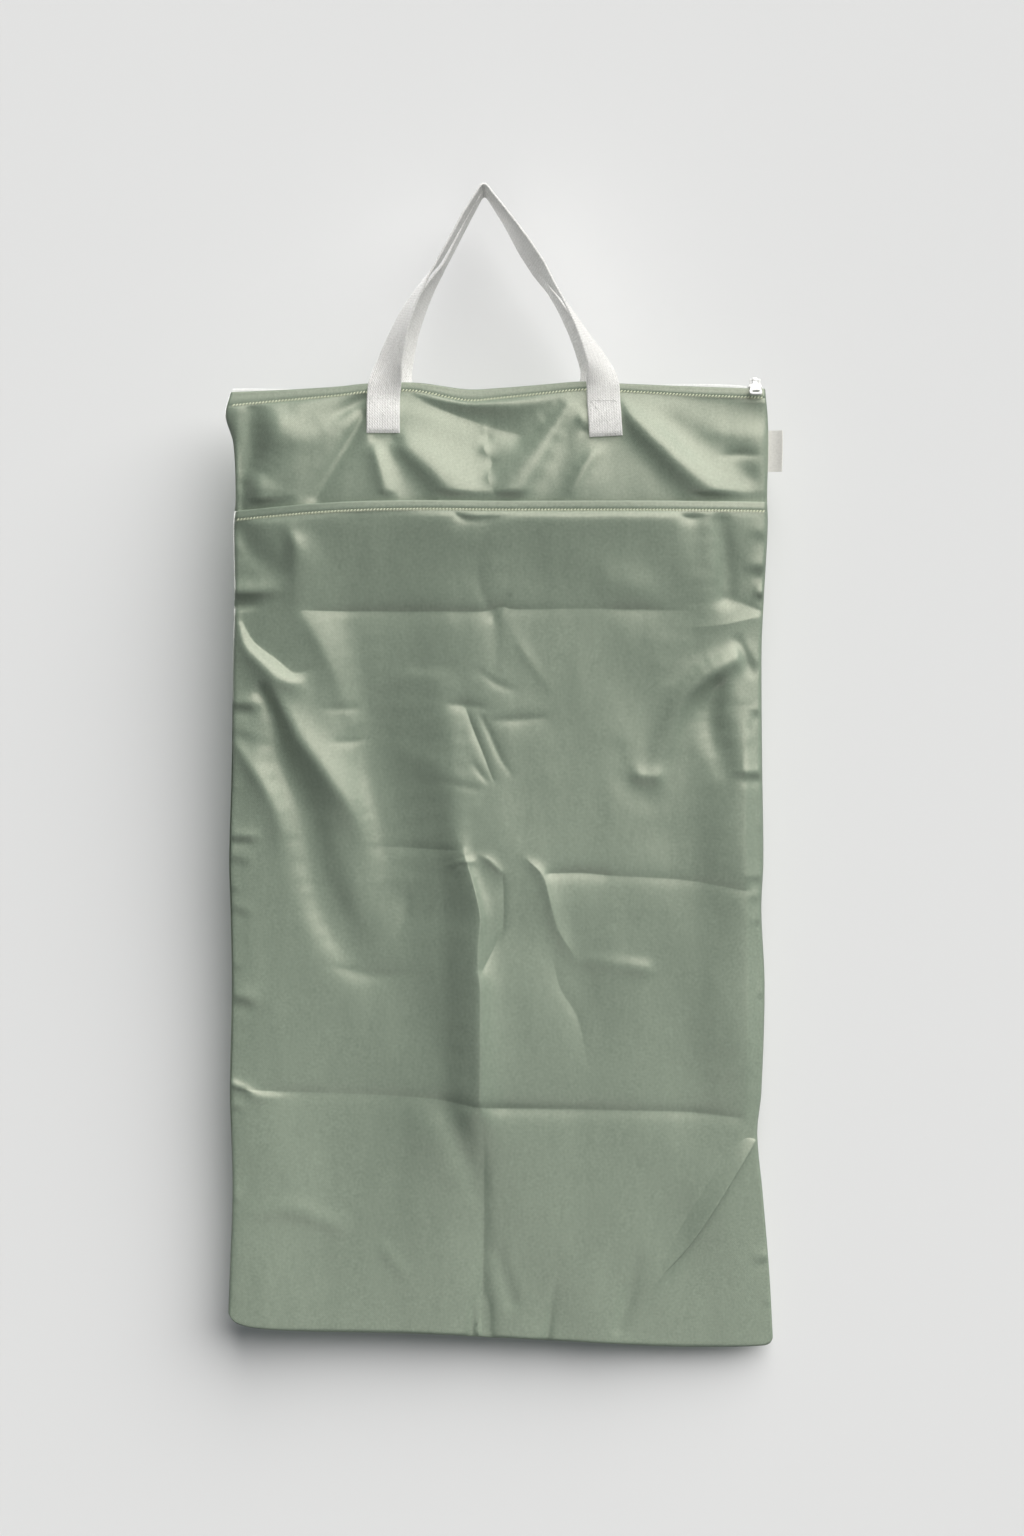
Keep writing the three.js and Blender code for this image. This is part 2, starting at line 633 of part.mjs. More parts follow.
// Label
function labelBody() {
  const face = (side) => (u, v) => {
    const down = LABEL.top + v * LABEL.high;
    const x = rightSeam(down) + GAP + u * LABEL.wide;
    return new THREE.Vector3(x, (side * LABEL.thick) / 2 - LABEL.curl * u * u, -down);
  };
  const slices = Array.from({ length: LABEL.slices + 1 }, (_, i) => i / LABEL.slices);
  return wallBody(slices, slices, face(-1), face(1));
}

// Materials
const sageCloth = new THREE.MeshStandardMaterial({ color: 0x93a892, roughness: 0.5, metalness: 0 });
const whiteWebbing = new THREE.MeshStandardMaterial({ color: 0xe9e9e6, roughness: 0.75, metalness: 0 });
const whiteTape = new THREE.MeshStandardMaterial({ color: 0xe6e8e8, roughness: 0.8, metalness: 0 });
const whiteNylon = new THREE.MeshStandardMaterial({ color: 0xeeeeee, roughness: 0.45, metalness: 0 });
const whiteEnamel = new THREE.MeshStandardMaterial({ color: 0xf2f2f0, roughness: 0.3, metalness: 0 });
const labelRibbon = new THREE.MeshStandardMaterial({ color: 0xe4e2da, roughness: 0.7, metalness: 0 });

const bag = new THREE.Group();

function piece(name, geometry, material, parent = bag) {
  const mesh = new THREE.Mesh(geometry, material);
  mesh.name = name;
  parent.add(mesh);
  return mesh;
}

piece('front_panel', panelBody(ACROSS, FRONT_ROWS, topEdge, frontDepth, -1), sageCloth);
piece('back_panel', panelBody(ACROSS_BACK, BACK_ROWS, topEdge, backDepth, 1), sageCloth);
piece('pocket_panel', panelBody(ACROSS, POCKET_ROWS, pocketMouth, pocketDepth, -1), sageCloth);
piece('zip_tape_front', tapeBody(-1), whiteTape);
piece('zip_tape_back', tapeBody(1), whiteTape);
piece('zip_coil', coilBody(), whiteNylon);
piece('handle_front', handleBody(FRONT_HANDLE, -1), whiteWebbing);
piece('handle_back', handleBody(BACK_HANDLE, 1), whiteWebbing);
piece('side_label', labelBody(), labelRibbon);

const slider = new THREE.Group();
slider.position.set(SLIDER.x, 0, sliderFoot);
bag.add(slider);
piece('zip_slider', joined(sliderPlate(), sliderBridge()), whiteEnamel, slider);

const pull = new THREE.Group();
pull.position.set(0, 0, bridgeAxis);
pull.rotation.x = -PULL_LEAN;
slider.add(pull);
piece('zip_pull', joined(pullTab(), pullEye()), whiteEnamel, pull);

export default bag;
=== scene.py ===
"""Hanging wet bag: coated cloth panels with an outer pocket, a coil zip and two webbing handles."""

import json
import math
from collections import namedtuple

import bpy
import numpy as np
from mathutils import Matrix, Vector


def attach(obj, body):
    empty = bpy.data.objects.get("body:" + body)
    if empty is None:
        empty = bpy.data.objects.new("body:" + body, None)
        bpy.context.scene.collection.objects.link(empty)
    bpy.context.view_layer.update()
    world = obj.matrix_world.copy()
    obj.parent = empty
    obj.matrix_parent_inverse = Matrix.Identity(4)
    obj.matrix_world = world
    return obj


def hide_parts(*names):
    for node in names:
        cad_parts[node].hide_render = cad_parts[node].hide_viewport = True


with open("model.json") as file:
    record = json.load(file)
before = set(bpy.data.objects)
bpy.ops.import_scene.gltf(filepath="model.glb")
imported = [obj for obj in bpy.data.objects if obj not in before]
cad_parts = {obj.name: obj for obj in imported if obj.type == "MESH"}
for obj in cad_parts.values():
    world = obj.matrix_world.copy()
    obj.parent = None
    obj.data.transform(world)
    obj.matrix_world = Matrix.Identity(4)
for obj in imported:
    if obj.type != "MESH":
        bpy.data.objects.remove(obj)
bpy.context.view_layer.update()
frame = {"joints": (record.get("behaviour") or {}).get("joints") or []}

# Lengths in the tables are millimetres. x runs to the viewer's right and down is the distance below the
# point where the handles hang. Depth is measured from the zip's middle plane, outwards on either face.
MM = 0.001

# Cloth
CLOTH = 1.0
HEM = 2.8
HEM_PUFF = 0.4
HEM_CROWN = (0.64, 0.3)
GAP = 0.3
SHARP_ANGLE = math.radians(55)
STITCH_GROOVE = 0.4
STITCH_GROOVE_HALF = 0.8

# Form of the bag
SEAM_TUCK = 0.9
SEAM_HALF = 1.35
SEAM_ROLL = 1.3
CORNER_ROLL = 1.5
ZIP_HALF = 5.0
FRONT_DEPTH = [
    (0, 5), (8, 5.6), (16, 7.6), (26, 9.5), (45, 10.8), (90, 15.4), (130, 12.8), (190, 9.4), (330, 7),
    (720, 6.5),
]
BACK_DEPTH = [(0, 5), (75, 8.5), (720, 8.5)]
POCKET_ROOM = [(0, 4.6), (7, 4.8), (13, 5.6), (30, 4.7), (60, 3.3), (120, 4.2), (300, 5), (630, 5.5)]
LEFT_SWING = [
    (150, 0), (172, 1.9), (196, 3.2), (240, 4), (330, 3.2), (500, 2.5), (600, 2.5), (700, 2.5),
    (872, 3.5),
]
RIGHT_SWING = [
    (150, 0), (172, 1.9), (196, 3.2), (240, 3.8), (330, 2), (500, 0), (600, -0.8), (700, -1.2),
    (872, -1.5),
]
POCKET_FLOOR = 1.5
FRONT_FLOOR = 1.2
FLOOR_ROUND = 2.5
RELIEF = 2.05
FRONT_RELIEF = 2.8
BACK_RELIEF = 1.7
SIDE_EASE = (4.0, 110.0)
BOTTOM_EASE = (3.5, 330.0)
SPREAD = (0.86, 0.84)
CORNER_BOX = 11.0
CORNER_EASE = 20.0
PATCH_MARGIN = 5.0
PATCH_EASE = 12.0
MOUTH_EASE = 7.0
LINING_INSET = 4.0
LINING_TURN = 14.0
LINING_DEPTH = 1.6

# Fades, as (start, run) where two numbers are given
HEM_FADE = 6.0
SIDE_FADE = 10.0
POCKET_FADE = 8.0
POCKET_SIDE_FADE = 6.0
POCKET_SIDE_SHARE = 0.35
LINING_FADE = (12.0, 30.0)
BACK_PUCKER_FADE = 60.0
GATHER_SIDE = (4.0, 10.0)
GATHER_TOP = (14.0, 8.0)
GATHER_BOTTOM = (3.0, 8.0)

# Outline: (down, x) for the side seams, (x, down) for the edges
LEFT_SEAM = [
    (140, -191), (152, -191.5), (169, -195), (190, -189), (230, -187), (252, -188.5), (310, -188),
    (345, -189), (430, -190), (505, -192), (541, -191), (600, -190), (680, -191.5), (710, -190.5),
    (755, -189.5), (815, -191.5), (870, -193.5),
]
RIGHT_SEAM = [
    (140, 211), (152, 212), (169, 213.5), (190, 214), (230, 213), (252, 213.5), (310, 210.5),
    (345, 209), (430, 209.5), (505, 210.5), (541, 209), (600, 211.5), (680, 209), (710, 206),
    (755, 210), (815, 215), (870, 218),
]
TOP_EDGE = [
    (-192, 152), (-155, 150.5), (-112, 148), (-87, 145.5), (-51, 145), (-12, 150), (11, 149),
    (43, 146.5), (75, 144), (101, 145.5), (165, 148), (213, 149.5),
]
BOTTOM_EDGE = [
    (-194, 843), (-190, 850), (-184, 854), (-170, 857), (-140, 859), (-55, 861), (43, 866),
    (135, 871), (180, 871.5), (210, 870.5), (215.5, 868.5), (218, 864),
]
POCKET_MOUTH = [(-188, 242), (-112, 236.5), (-48, 235), (12, 235.5), (213, 235)]
FRONT_HEM_LINE = [
    (-193, 10.8), (-150, 8.5), (-90, 6.8), (-58, 6.5), (-15, 8.8), (12, 8), (45, 7), (75, 6.6),
    (101, 6.2), (150, 7), (213, 7.4),
]
POCKET_HEM_LINE = [(-187, 7), (-112, 7.2), (-48, 7), (60, 7.2), (213, 7.4)]
POCKET_TUCK = [(370, 0), (400, 1.2), (560, 1.5), (690, 1.4), (730, 0)]

# Folds. Each path point is (x, down, rise, left, right): rise is the height there, outwards, and left and
# right are the reach to either side of a path that runs down. On a path that runs to the right, left is the
# reach below it. A soft fold is rounded, a crease has a sharp line and a fold lies between the two.
Fold = namedtuple("Fold", "name profile path")
FRONT_FOLDS = [
    Fold("left corner dent", "soft", [
        (-174, 168, -1.6, 6, 12), (-176, 186, -2.6, 7, 14), (-180, 206, -2.2, 7, 12),
        (-183, 218, -1.2, 6, 9)]),
    Fold("left corner ridge", "fold", [
        (-152, 164, 0.5, 12, 14), (-155, 178, 2, 14, 24), (-160, 194, 1.6, 14, 26),
        (-169, 212, 0.4, 11, 22)]),
    Fold("left corner, lower dent", "soft", [(-183, 226, -1.2, 6, 9), (-182, 240, -1.4, 6, 10)]),
    Fold("left corner, lower ridge", "fold", [
        (-167, 214, 0.4, 8, 10), (-169, 226, 1.5, 11, 16), (-169, 242, 0.7, 11, 16)]),
    Fold("left patch, upper pull", "fold", [
        (-89, 157, -2, 4, 4), (-105, 166, -1.8, 6, 6), (-122, 177, -0.6, 9, 9)]),
    Fold("left patch, long pull", "fold", [
        (-89, 170, -2.2, 4, 4), (-106, 198, -2, 5, 6), (-126, 232, -1.4, 6, 7)]),
    Fold("left patch, lower ridge", "fold", [
        (-84, 188, 1.2, 4, 4), (-79, 206, 2, 6, 6), (-72, 234, 1.6, 7, 8)]),
    Fold("left patch, inner ridge", "soft", [
        (-72, 184, 0.8, 5, 6), (-56, 197, 2.2, 9, 14), (-36, 214, 2.8, 12, 20), (-16, 236, 2.8, 13, 22)]),
    Fold("hem sag, hollow", "crease", [
        (-59, 151, -0.4, 6, 5), (-33, 165, -1.4, 10, 10), (-1, 177, -2.1, 13, 17),
        (20, 183, -2.5, 14, 20), (32, 185, -2.5, 14, 21), (46, 175, -1.9, 12, 15), (63, 159, -0.3, 6, 8)]),
    Fold("hem sag, roll", "soft", [
        (-56, 152, 0.6, 6, 5), (-14, 158, 2.3, 9, 6), (24, 160, 2.1, 10, 7), (60, 154, 0.4, 6, 5)]),
    Fold("centre crumple", "crease", [
        (0, 180, 0.4, 3, 4), (3, 187, -0.5, 4, 3), (0, 196, 0.6, 3, 4), (6, 206, -0.5, 4, 3),
        (3, 218, 0.4, 3, 4), (8, 230, -0.4, 3, 3)]),
    Fold("centre ridge", "soft", [(61, 164, 1, 6, 6), (42, 194, 2.6, 15, 11), (18, 236, 2.6, 17, 13)]),
    Fold("right patch, lower left ridge", "fold", [
        (87, 192, 0.8, 4, 4), (74, 212, 1.6, 6, 5), (62, 236, 1.2, 7, 6)]),
    Fold("right patch, side pinch", "crease", [
        (77, 165, -0.9, 3, 3), (73, 173, 0.9, 3, 3), (76, 182, -0.8, 3, 3)]),
    Fold("right patch, ridge", "soft", [
        (104, 164, 1.2, 6, 6), (118, 180, 2.4, 9, 11), (140, 201, 3, 11, 12), (168, 226, 2.8, 13, 13),
        (182, 238, 1.8, 13, 13)]),
    Fold("right slack", "soft", [(140, 176, -0.5, 9, 9), (178, 196, -0.5, 11, 11), (198, 216, -0.8, 9, 9)]),
    Fold("right corner, swell", "soft", [
        (146, 187, 0.3, 24, 14), (178, 187, 1.2, 45, 13), (203, 188, 1.1, 45, 13)]),
    Fold("left corner, swell", "soft", [
        (-184, 186, 0.4, 9, 16), (-152, 187, 0.6, 10, 18), (-124, 188, 0.2, 9, 15)]),
    Fold("right tuck", "crease", [(178, 201, -0.2, 3, 4), (194, 199.5, -1, 3, 4), (207, 200, -0.2, 3, 4)]),
]
POCKET_FOLDS = [
    # Broad form
    Fold("left half, hollow", "soft", [
        (-120, 330, -1.6, 40, 50), (-112, 500, -2.2, 60, 55), (-94, 600, -3, 88, 54),
        (-92, 690, -2.4, 90, 54), (-90, 760, -1.4, 90, 55), (-80, 830, -0.4, 90, 55)]),
    Fold("middle, swell", "soft", [
        (0, 256, 1.8, 45, 44), (2, 300, 2.8, 45, 46), (6, 350, 3, 45, 50), (12, 420, 3.6, 42, 52),
        (12, 490, 3.3, 40, 60), (-2, 550, 2.7, 42, 70), (-3, 600, 3, 42, 72), (-3, 690, 2.4, 42, 72),
        (0, 760, 1.3, 45, 70), (0, 850, 0.3, 45, 60)]),
    Fold("right margin, hollow", "soft", [
        (160, 440, -0.8, 26, 24), (156, 520, -1.5, 30, 26), (154, 620, -1.5, 30, 26),
        (156, 700, -0.7, 26, 24)]),
    Fold("right margin, ridge", "fold", [
        (193, 388, 1.6, 26, 9), (194, 430, 4.3, 30, 10), (194, 480, 4.9, 32, 10),
        (195, 520, 4.1, 32, 10), (196, 570, 3.7, 31, 9), (197, 640, 3.4, 31, 9), (196, 692, 1, 24, 8)]),
    Fold("right shoulder, hollow", "soft", [
        (152, 340, -0.8, 46, 20), (150, 385, -2.3, 50, 20), (148, 425, -2.2, 48, 20),
        (150, 470, -1.4, 44, 20)]),
    # Packing creases
    Fold("upper packing crease", "crease", [
        (-136, 317, -0.5, 7, 4), (-100, 317.5, -1.1, 8, 4), (-30, 318, -1.2, 9, 4.5),
        (0, 318, -1.1, 8, 4), (13, 314.5, -0.6, 5, 3), (24, 316.5, -0.8, 8, 4), (60, 316, -0.4, 6, 4),
        (88, 316, -0.5, 7, 4), (104, 316.5, -1.1, 9, 4), (124, 316.5, -1, 9, 4), (136, 317, -0.4, 6, 4),
        (152, 317, -0.1, 5, 4)]),
    Fold("upper packing crease, notch", "crease", [
        (178, 310, -0.1, 6, 4), (191, 310.5, -0.4, 7, 4), (203, 314.5, -0.9, 6, 5),
        (212, 319, -1.2, 5, 5)]),
    Fold("upper packing crease, flap", "crease", [
        (150, 330, 0.1, 5, 5), (172, 328.5, 0.35, 6, 5), (187, 326, 0.55, 7, 5), (210, 320.5, 0.6, 6, 4)]),
    Fold("right upper flank", "fold", [
        (172, 246, 0.8, 46, 9), (173, 280, 1.7, 55, 9), (172, 312, 0.8, 50, 9)]),
    Fold("middle crease, left", "crease", [
        (-75, 494, -0.2, 4, 4), (-45, 495.5, -0.7, 5, 4), (-21, 496.5, -0.5, 4, 4)]),
    Fold("middle crease, right", "crease", [
        (48, 514, -0.9, 6, 4), (72, 513.5, -1.3, 7, 4), (92, 515.3, -1.1, 6, 4), (102, 516, -0.5, 5, 4),
        (150, 519, -0.5, 5, 4), (196, 527, -0.6, 5, 4)]),
    Fold("lower packing crease", "crease", [
        (-180, 677, -0.7, 6, 4), (-150, 678.5, -0.9, 8, 4), (-100, 680, -0.7, 8, 4),
        (-46, 682.5, -0.6, 7, 4), (-24, 685.5, -0.8, 6, 4), (-4, 689, -1.2, 7, 4), (14, 690, -1.4, 9, 4),
        (70, 691.5, -1.1, 8, 4), (140, 693, -0.9, 8, 4), (165, 695, -1.1, 8, 4), (192, 698, -0.7, 6, 4)]),
    Fold("lower packing crease, star", "crease", [
        (-190, 672, 1.5, 3, 3), (-180, 676, 1.5, 3, 3), (-168, 681, 1.3, 6, 3), (-150, 682, 0.3, 6, 3)]),
    # Centre
    Fold("centre line, upper", "fold", [
        (4, 252, -0.2, 5, 5), (-5, 286, -0.5, 6, 5), (1, 310, -0.5, 5, 5), (9, 330, -0.5, 5, 5),
        (9, 362, -0.3, 5, 5)]),
    Fold("centre line, knot", "crease", [
        (18, 307, -0.6, 2.5, 2.5), (12, 315, -0.9, 2.5, 2.5), (6, 323, -0.5, 2.5, 2.5)]),
    Fold("centre line, slant", "fold", [(24, 338, 0.3, 5, 6), (33, 354, 0.6, 5, 6), (47, 372, 0.2, 5, 6)]),
    Fold("centre line, bow", "crease", [
        (-2, 364, -0.3, 3, 3), (9, 372, -0.6, 3, 3), (22, 377, -0.2, 3, 3)]),
    Fold("centre ridge, sharp", "crease", [
        (-14, 501, 2.4, 20, 4), (-6, 529, 4.6, 24, 5), (-2.8, 548, 5.5, 26, 7), (-4.4, 566, 6.2, 28, 9),
        (-4.6, 585, 6.5, 29, 10), (-3, 600, 6.6, 30, 11), (-3, 640, 6.4, 31, 12),
        (-3.4, 688, 5.4, 31, 12)]),
    Fold("centre, left hollow", "soft", [
        (-42, 450, -0.8, 36, 16), (-38, 500, -1.7, 38, 18), (-34, 550, -2.1, 40, 18),
        (-34, 610, -2, 40, 18), (-33, 670, -1.2, 36, 16)]),
    Fold("centre crease, lower", "crease", [
        (-1, 698, -0.3, 8, 6), (0, 730, -0.9, 12, 6), (0, 775, -1.6, 12, 7), (-1, 815, -2, 9, 7),
        (-1, 842, -2.2, 6, 6), (-2, 866, -1.6, 4, 5)]),
    Fold("centre, left hollow below", "soft", [
        (-26, 694, -2, 12, 12), (-14, 726, -1.6, 11, 11), (-8, 750, -0.6, 9, 9)]),
    Fold("peak cap", "crease", [(-27, 509, 0.2, 3, 3), (-18, 505, 0.9, 3, 3), (-9, 505, 0.8, 3, 3)]),
    Fold("middle peak", "crease", [(-2, 501, 0.4, 3, 3), (5, 505, 1, 3, 3), (13, 513, 0.7, 3, 3)]),
    Fold("middle peak, line", "crease", [
        (14, 514, -0.3, 2.2, 2), (14.8, 532, -0.7, 2.2, 2), (14.5, 551, -0.7, 2.2, 2),
        (11, 563, -0.7, 2.2, 2), (-1, 586, -0.6, 2.2, 2)]),
    Fold("right peak", "crease", [
        (33, 504, 0.5, 5, 3.5), (44, 515, 1.9, 7, 5), (48, 528, 2, 8, 5.5), (55, 555, 1.4, 8, 6.5),
        (69, 578, 0.4, 7, 6)]),
    Fold("right peak, end", "soft", [(80, 579, 0.3, 6, 6), (100, 582, 0.5, 7, 6), (119, 585, 0.9, 7, 6)]),
    Fold("slack line", "crease", [
        (51, 575, -0.1, 3, 4), (57, 600, -0.35, 3, 4), (70, 622, -0.45, 3, 4), (78, 657, -0.1, 3, 4)]),
    Fold("thin line", "crease", [(-19, 510, 0.5, 3, 3), (-40, 538, 0.3, 3, 3)]),
    # Left side
    Fold("left shoulder", "fold", [
        (-185, 322, 0.6, 4, 4), (-179, 344, 2.2, 6, 6), (-168, 356, 3, 8, 8), (-156, 367, 3.2, 9, 9),
        (-144, 371, 2.6, 8, 8), (-134, 368.5, 0.8, 6, 6)]),
    Fold("left shoulder, line above", "crease", [
        (-181, 326, -0.8, 3, 8), (-174, 339, -1.4, 3.5, 9), (-165, 347, -1.7, 4, 10),
        (-154, 355, -1.8, 4, 10), (-145, 363, -1.6, 4, 10), (-139, 364, -1.2, 4, 9),
        (-130, 361, -0.4, 4, 7)]),
    Fold("left diagonal, ridge", "fold", [
        (-158, 375, 1.6, 6, 9), (-148, 395, 3.2, 7, 12), (-138, 413, 4.2, 9, 14),
        (-126, 429, 4.6, 10, 15), (-114, 445, 4.6, 11, 15), (-102, 461, 4, 12, 14),
        (-91, 482, 2.2, 12, 12), (-86, 505, 0.8, 10, 10)]),
    Fold("left diagonal, hollow", "soft", [
        (-167, 378, -1.8, 5, 6), (-158, 398, -2.2, 6, 7), (-152, 430, -3, 11, 12),
        (-136, 470, -3.8, 14, 16), (-124, 520, -3.5, 14, 16), (-114, 548, -3.2, 14, 18),
        (-96, 582, -1.3, 12, 16)]),
    Fold("left margin, swell", "fold", [
        (-187, 416, 0.8, 4, 6), (-176, 433, 2, 6, 9), (-164, 451, 2.2, 7, 10), (-156, 468, 1.8, 8, 10),
        (-148, 492, 0.6, 8, 9)]),
    Fold("left upper tick", "fold", [
        (-145, 258, 1.2, 5, 6), (-141, 268, 3, 6, 10), (-139, 284, 2.8, 9, 22), (-140, 300, 2, 11, 34),
        (-139, 313, 0.9, 12, 36)]),
    Fold("left pucker, ridge", "soft", [
        (-197, 303, 1.4, 4, 7), (-178, 303, 1.9, 4, 7), (-150, 301, 0.3, 5, 7)]),
    Fold("left pucker, hollow", "soft", [
        (-197, 312.5, -1.8, 3.5, 7), (-182, 312.5, -2, 3.5, 7), (-166, 312, -0.2, 4, 6)]),
    Fold("left upper hollow", "soft", [
        (-184, 256, -1.6, 8, 12), (-174, 272, -1.4, 9, 12), (-158, 286, -0.8, 9, 9)]),
    Fold("left inner ridge", "fold", [
        (-137, 318, 1.2, 9, 16), (-123, 340, 2.6, 10, 24), (-112, 362, 3, 11, 28),
        (-104, 384, 2.2, 11, 26), (-96, 408, 0.6, 10, 20)]),
    Fold("left vertical hollow", "soft", [
        (-96, 322, -1, 20, 40), (-90, 360, -2.6, 22, 46), (-82, 400, -4, 20, 48),
        (-84, 440, -4.6, 18, 50), (-74, 480, -4.2, 20, 46), (-70, 520, -2, 22, 40)]),
    Fold("centre ridge, upper", "fold", [
        (-36, 360, 0.5, 20, 14), (-31, 388, 2.4, 26, 17), (-25, 420, 3.6, 27, 20),
        (-26, 455, 4.7, 27, 21), (-21, 490, 4.7, 27, 20), (-15, 508, 3, 25, 12)]),
    Fold("middle left, swell", "soft", [
        (-68, 368, 0.2, 8, 7), (-48, 367, 0.5, 9, 7), (-28, 371, 0.2, 8, 7)]),
    Fold("middle left, slant", "soft", [
        (-68, 420, 0.2, 12, 10), (-46, 430, 0.6, 13, 10), (-20, 443, 0.3, 11, 9)]),
    Fold("left tuck, upper", "crease", [
        (-120, 391, -0.2, 3, 3), (-106, 390.5, -0.6, 4, 3), (-92, 391, -0.2, 3, 3)]),
    Fold("left tuck, lower", "crease", [
        (-113, 416, -0.2, 3, 3), (-100, 415, -0.7, 4, 3), (-88, 413, -0.3, 3, 3)]),
    Fold("left lower tuck", "crease", [
        (-110, 585, -0.4, 4, 3), (-84, 590.5, -0.9, 5, 3), (-62, 591, -0.2, 4, 3)]),
    Fold("swirl", "fold", [(-58, 533, -0.6, 4, 4), (-59, 545, -0.9, 4, 4), (-66, 560, -0.3, 4, 4)]),
    # Middle
    Fold("middle tuck", "crease", [(-26, 387, -0.5, 4, 3), (-14, 388, -1.1, 5, 4), (0, 390, -0.4, 4, 3)]),
    Fold("middle wrinkle, left", "crease", [
        (-13, 392, -0.4, 2.4, 2.4), (-8, 406, -0.8, 2.4, 2.4), (-1.5, 422, -0.8, 2.4, 2.4),
        (7, 444, -0.4, 2.4, 2.4)]),
    Fold("middle wrinkle, right", "crease", [
        (-2, 397, -0.4, 2.4, 2.4), (5, 411, -0.8, 2.4, 2.4), (12, 427, -0.7, 2.4, 2.4),
        (21, 441, -0.2, 2.4, 2.4)]),
    Fold("middle wrinkle, short", "crease", [
        (-7, 433, -0.4, 2.2, 2.2), (-2, 440, -0.7, 2.2, 2.2), (3, 446, -0.3, 2.2, 2.2)]),
    Fold("middle tuck, right", "crease", [
        (9, 400, -0.4, 4, 3), (26, 398.5, -0.9, 5, 3), (46, 397.5, -0.3, 4, 3)]),
    Fold("middle tuck, low", "crease", [
        (-31, 446, -0.2, 3, 3), (-14, 449, -0.5, 3.5, 3), (0, 451, -0.2, 3, 3)]),
    # Right side
    Fold("right boomerang, ridge", "soft", [
        (197, 349, 0.6, 8, 6), (187, 354, 2.4, 9, 7), (166, 367, 3.6, 12, 7), (151, 381, 3.2, 12, 8),
        (142, 398, 2.4, 11, 9), (136, 417, 1.6, 10, 10), (130, 434, 0.8, 8, 9)]),
    Fold("right boomerang, hollow", "soft", [
        (175, 375, -1.6, 7, 7), (170, 393, -2.4, 9, 10), (173, 414, -2.2, 10, 12),
        (181, 434, -1, 11, 11)]),
    Fold("right bump", "fold", [(117, 441, 1.4, 5, 5), (128, 442, 1.4, 5, 5)]),
    Fold("right bump, hollow", "soft", [
        (102, 425, -0.5, 12, 8), (106, 443, -0.7, 12, 8), (119, 455, -0.4, 11, 8)]),
    Fold("right upper hollow", "soft", [(158, 250, -0.9, 9, 7), (160, 282, -0.5, 9, 8)]),
    Fold("right edge hollow", "soft", [(177, 252, -1.2, 8, 8), (181, 280, -2, 8, 8), (182, 306, -2, 8, 8)]),
    Fold("upper swell", "soft", [(94, 294, 0.6, 12, 13), (118, 300, 0.7, 12, 13)]),
    Fold("hem tick, right", "crease", [
        (145, 243, -0.3, 4, 3), (152, 248, -1.2, 4, 3), (166, 247, -0.3, 4, 3)]),
    Fold("hem tick, left", "crease", [
        (-23, 243, -0.4, 4, 3), (-17, 248, -1.4, 5, 3), (-5, 250, -1.2, 5, 3), (21, 247, -0.2, 4, 3)]),
    Fold("right notch", "soft", [(191, 340, -0.8, 4, 4), (196, 352, -1.2, 4, 4), (201, 363, -0.5, 4, 4)]),
    # Lower edge
    Fold("corner overlap", "crease", [
        (204, 718, 0.3, 16, 3), (175, 765, 0.8, 24, 3), (156, 793, 0.9, 26, 3), (137, 814, 0.9, 20, 4),
        (126, 826, 0.8, 14, 5), (118, 841, 0.6, 10, 6), (115, 856, 0.3, 8, 6)]),
    Fold("corner overlap, end", "soft", [
        (115, 808, -0.3, 6, 6), (108, 836, -1, 6, 5), (102, 856, -0.6, 6, 5)]),
    Fold("lower left swell", "soft", [
        (-172, 770, 0.3, 7, 9), (-144, 767, 0.8, 7, 10), (-112, 779, 0.5, 6, 9)]),
    Fold("bottom pinch, left", "crease", [(-6, 838, -0.5, 4, 3), (-10, 864, -1.5, 4, 3)]),
    Fold("bottom pinch, ridge", "soft", [(-4, 838, 0.6, 2.5, 2.5), (-4, 866, 1.5, 2.5, 2.5)]),
    Fold("bottom pinch, right", "crease", [(3, 838, -0.6, 3, 4), (3, 866, -1.4, 3, 4)]),
    Fold("bottom tuck", "crease", [(53, 826, -0.4, 4, 4), (50, 846, -1.1, 4, 5), (47, 866, -1.5, 4, 4)]),
    Fold("bottom slack, centre", "soft", [(10, 800, -0.4, 6, 6), (21, 836, -0.7, 6, 6)]),
    Fold("bottom slack, left", "soft", [(-75, 797, 0.3, 6, 6), (-62, 812, 0.4, 6, 6)]),
]
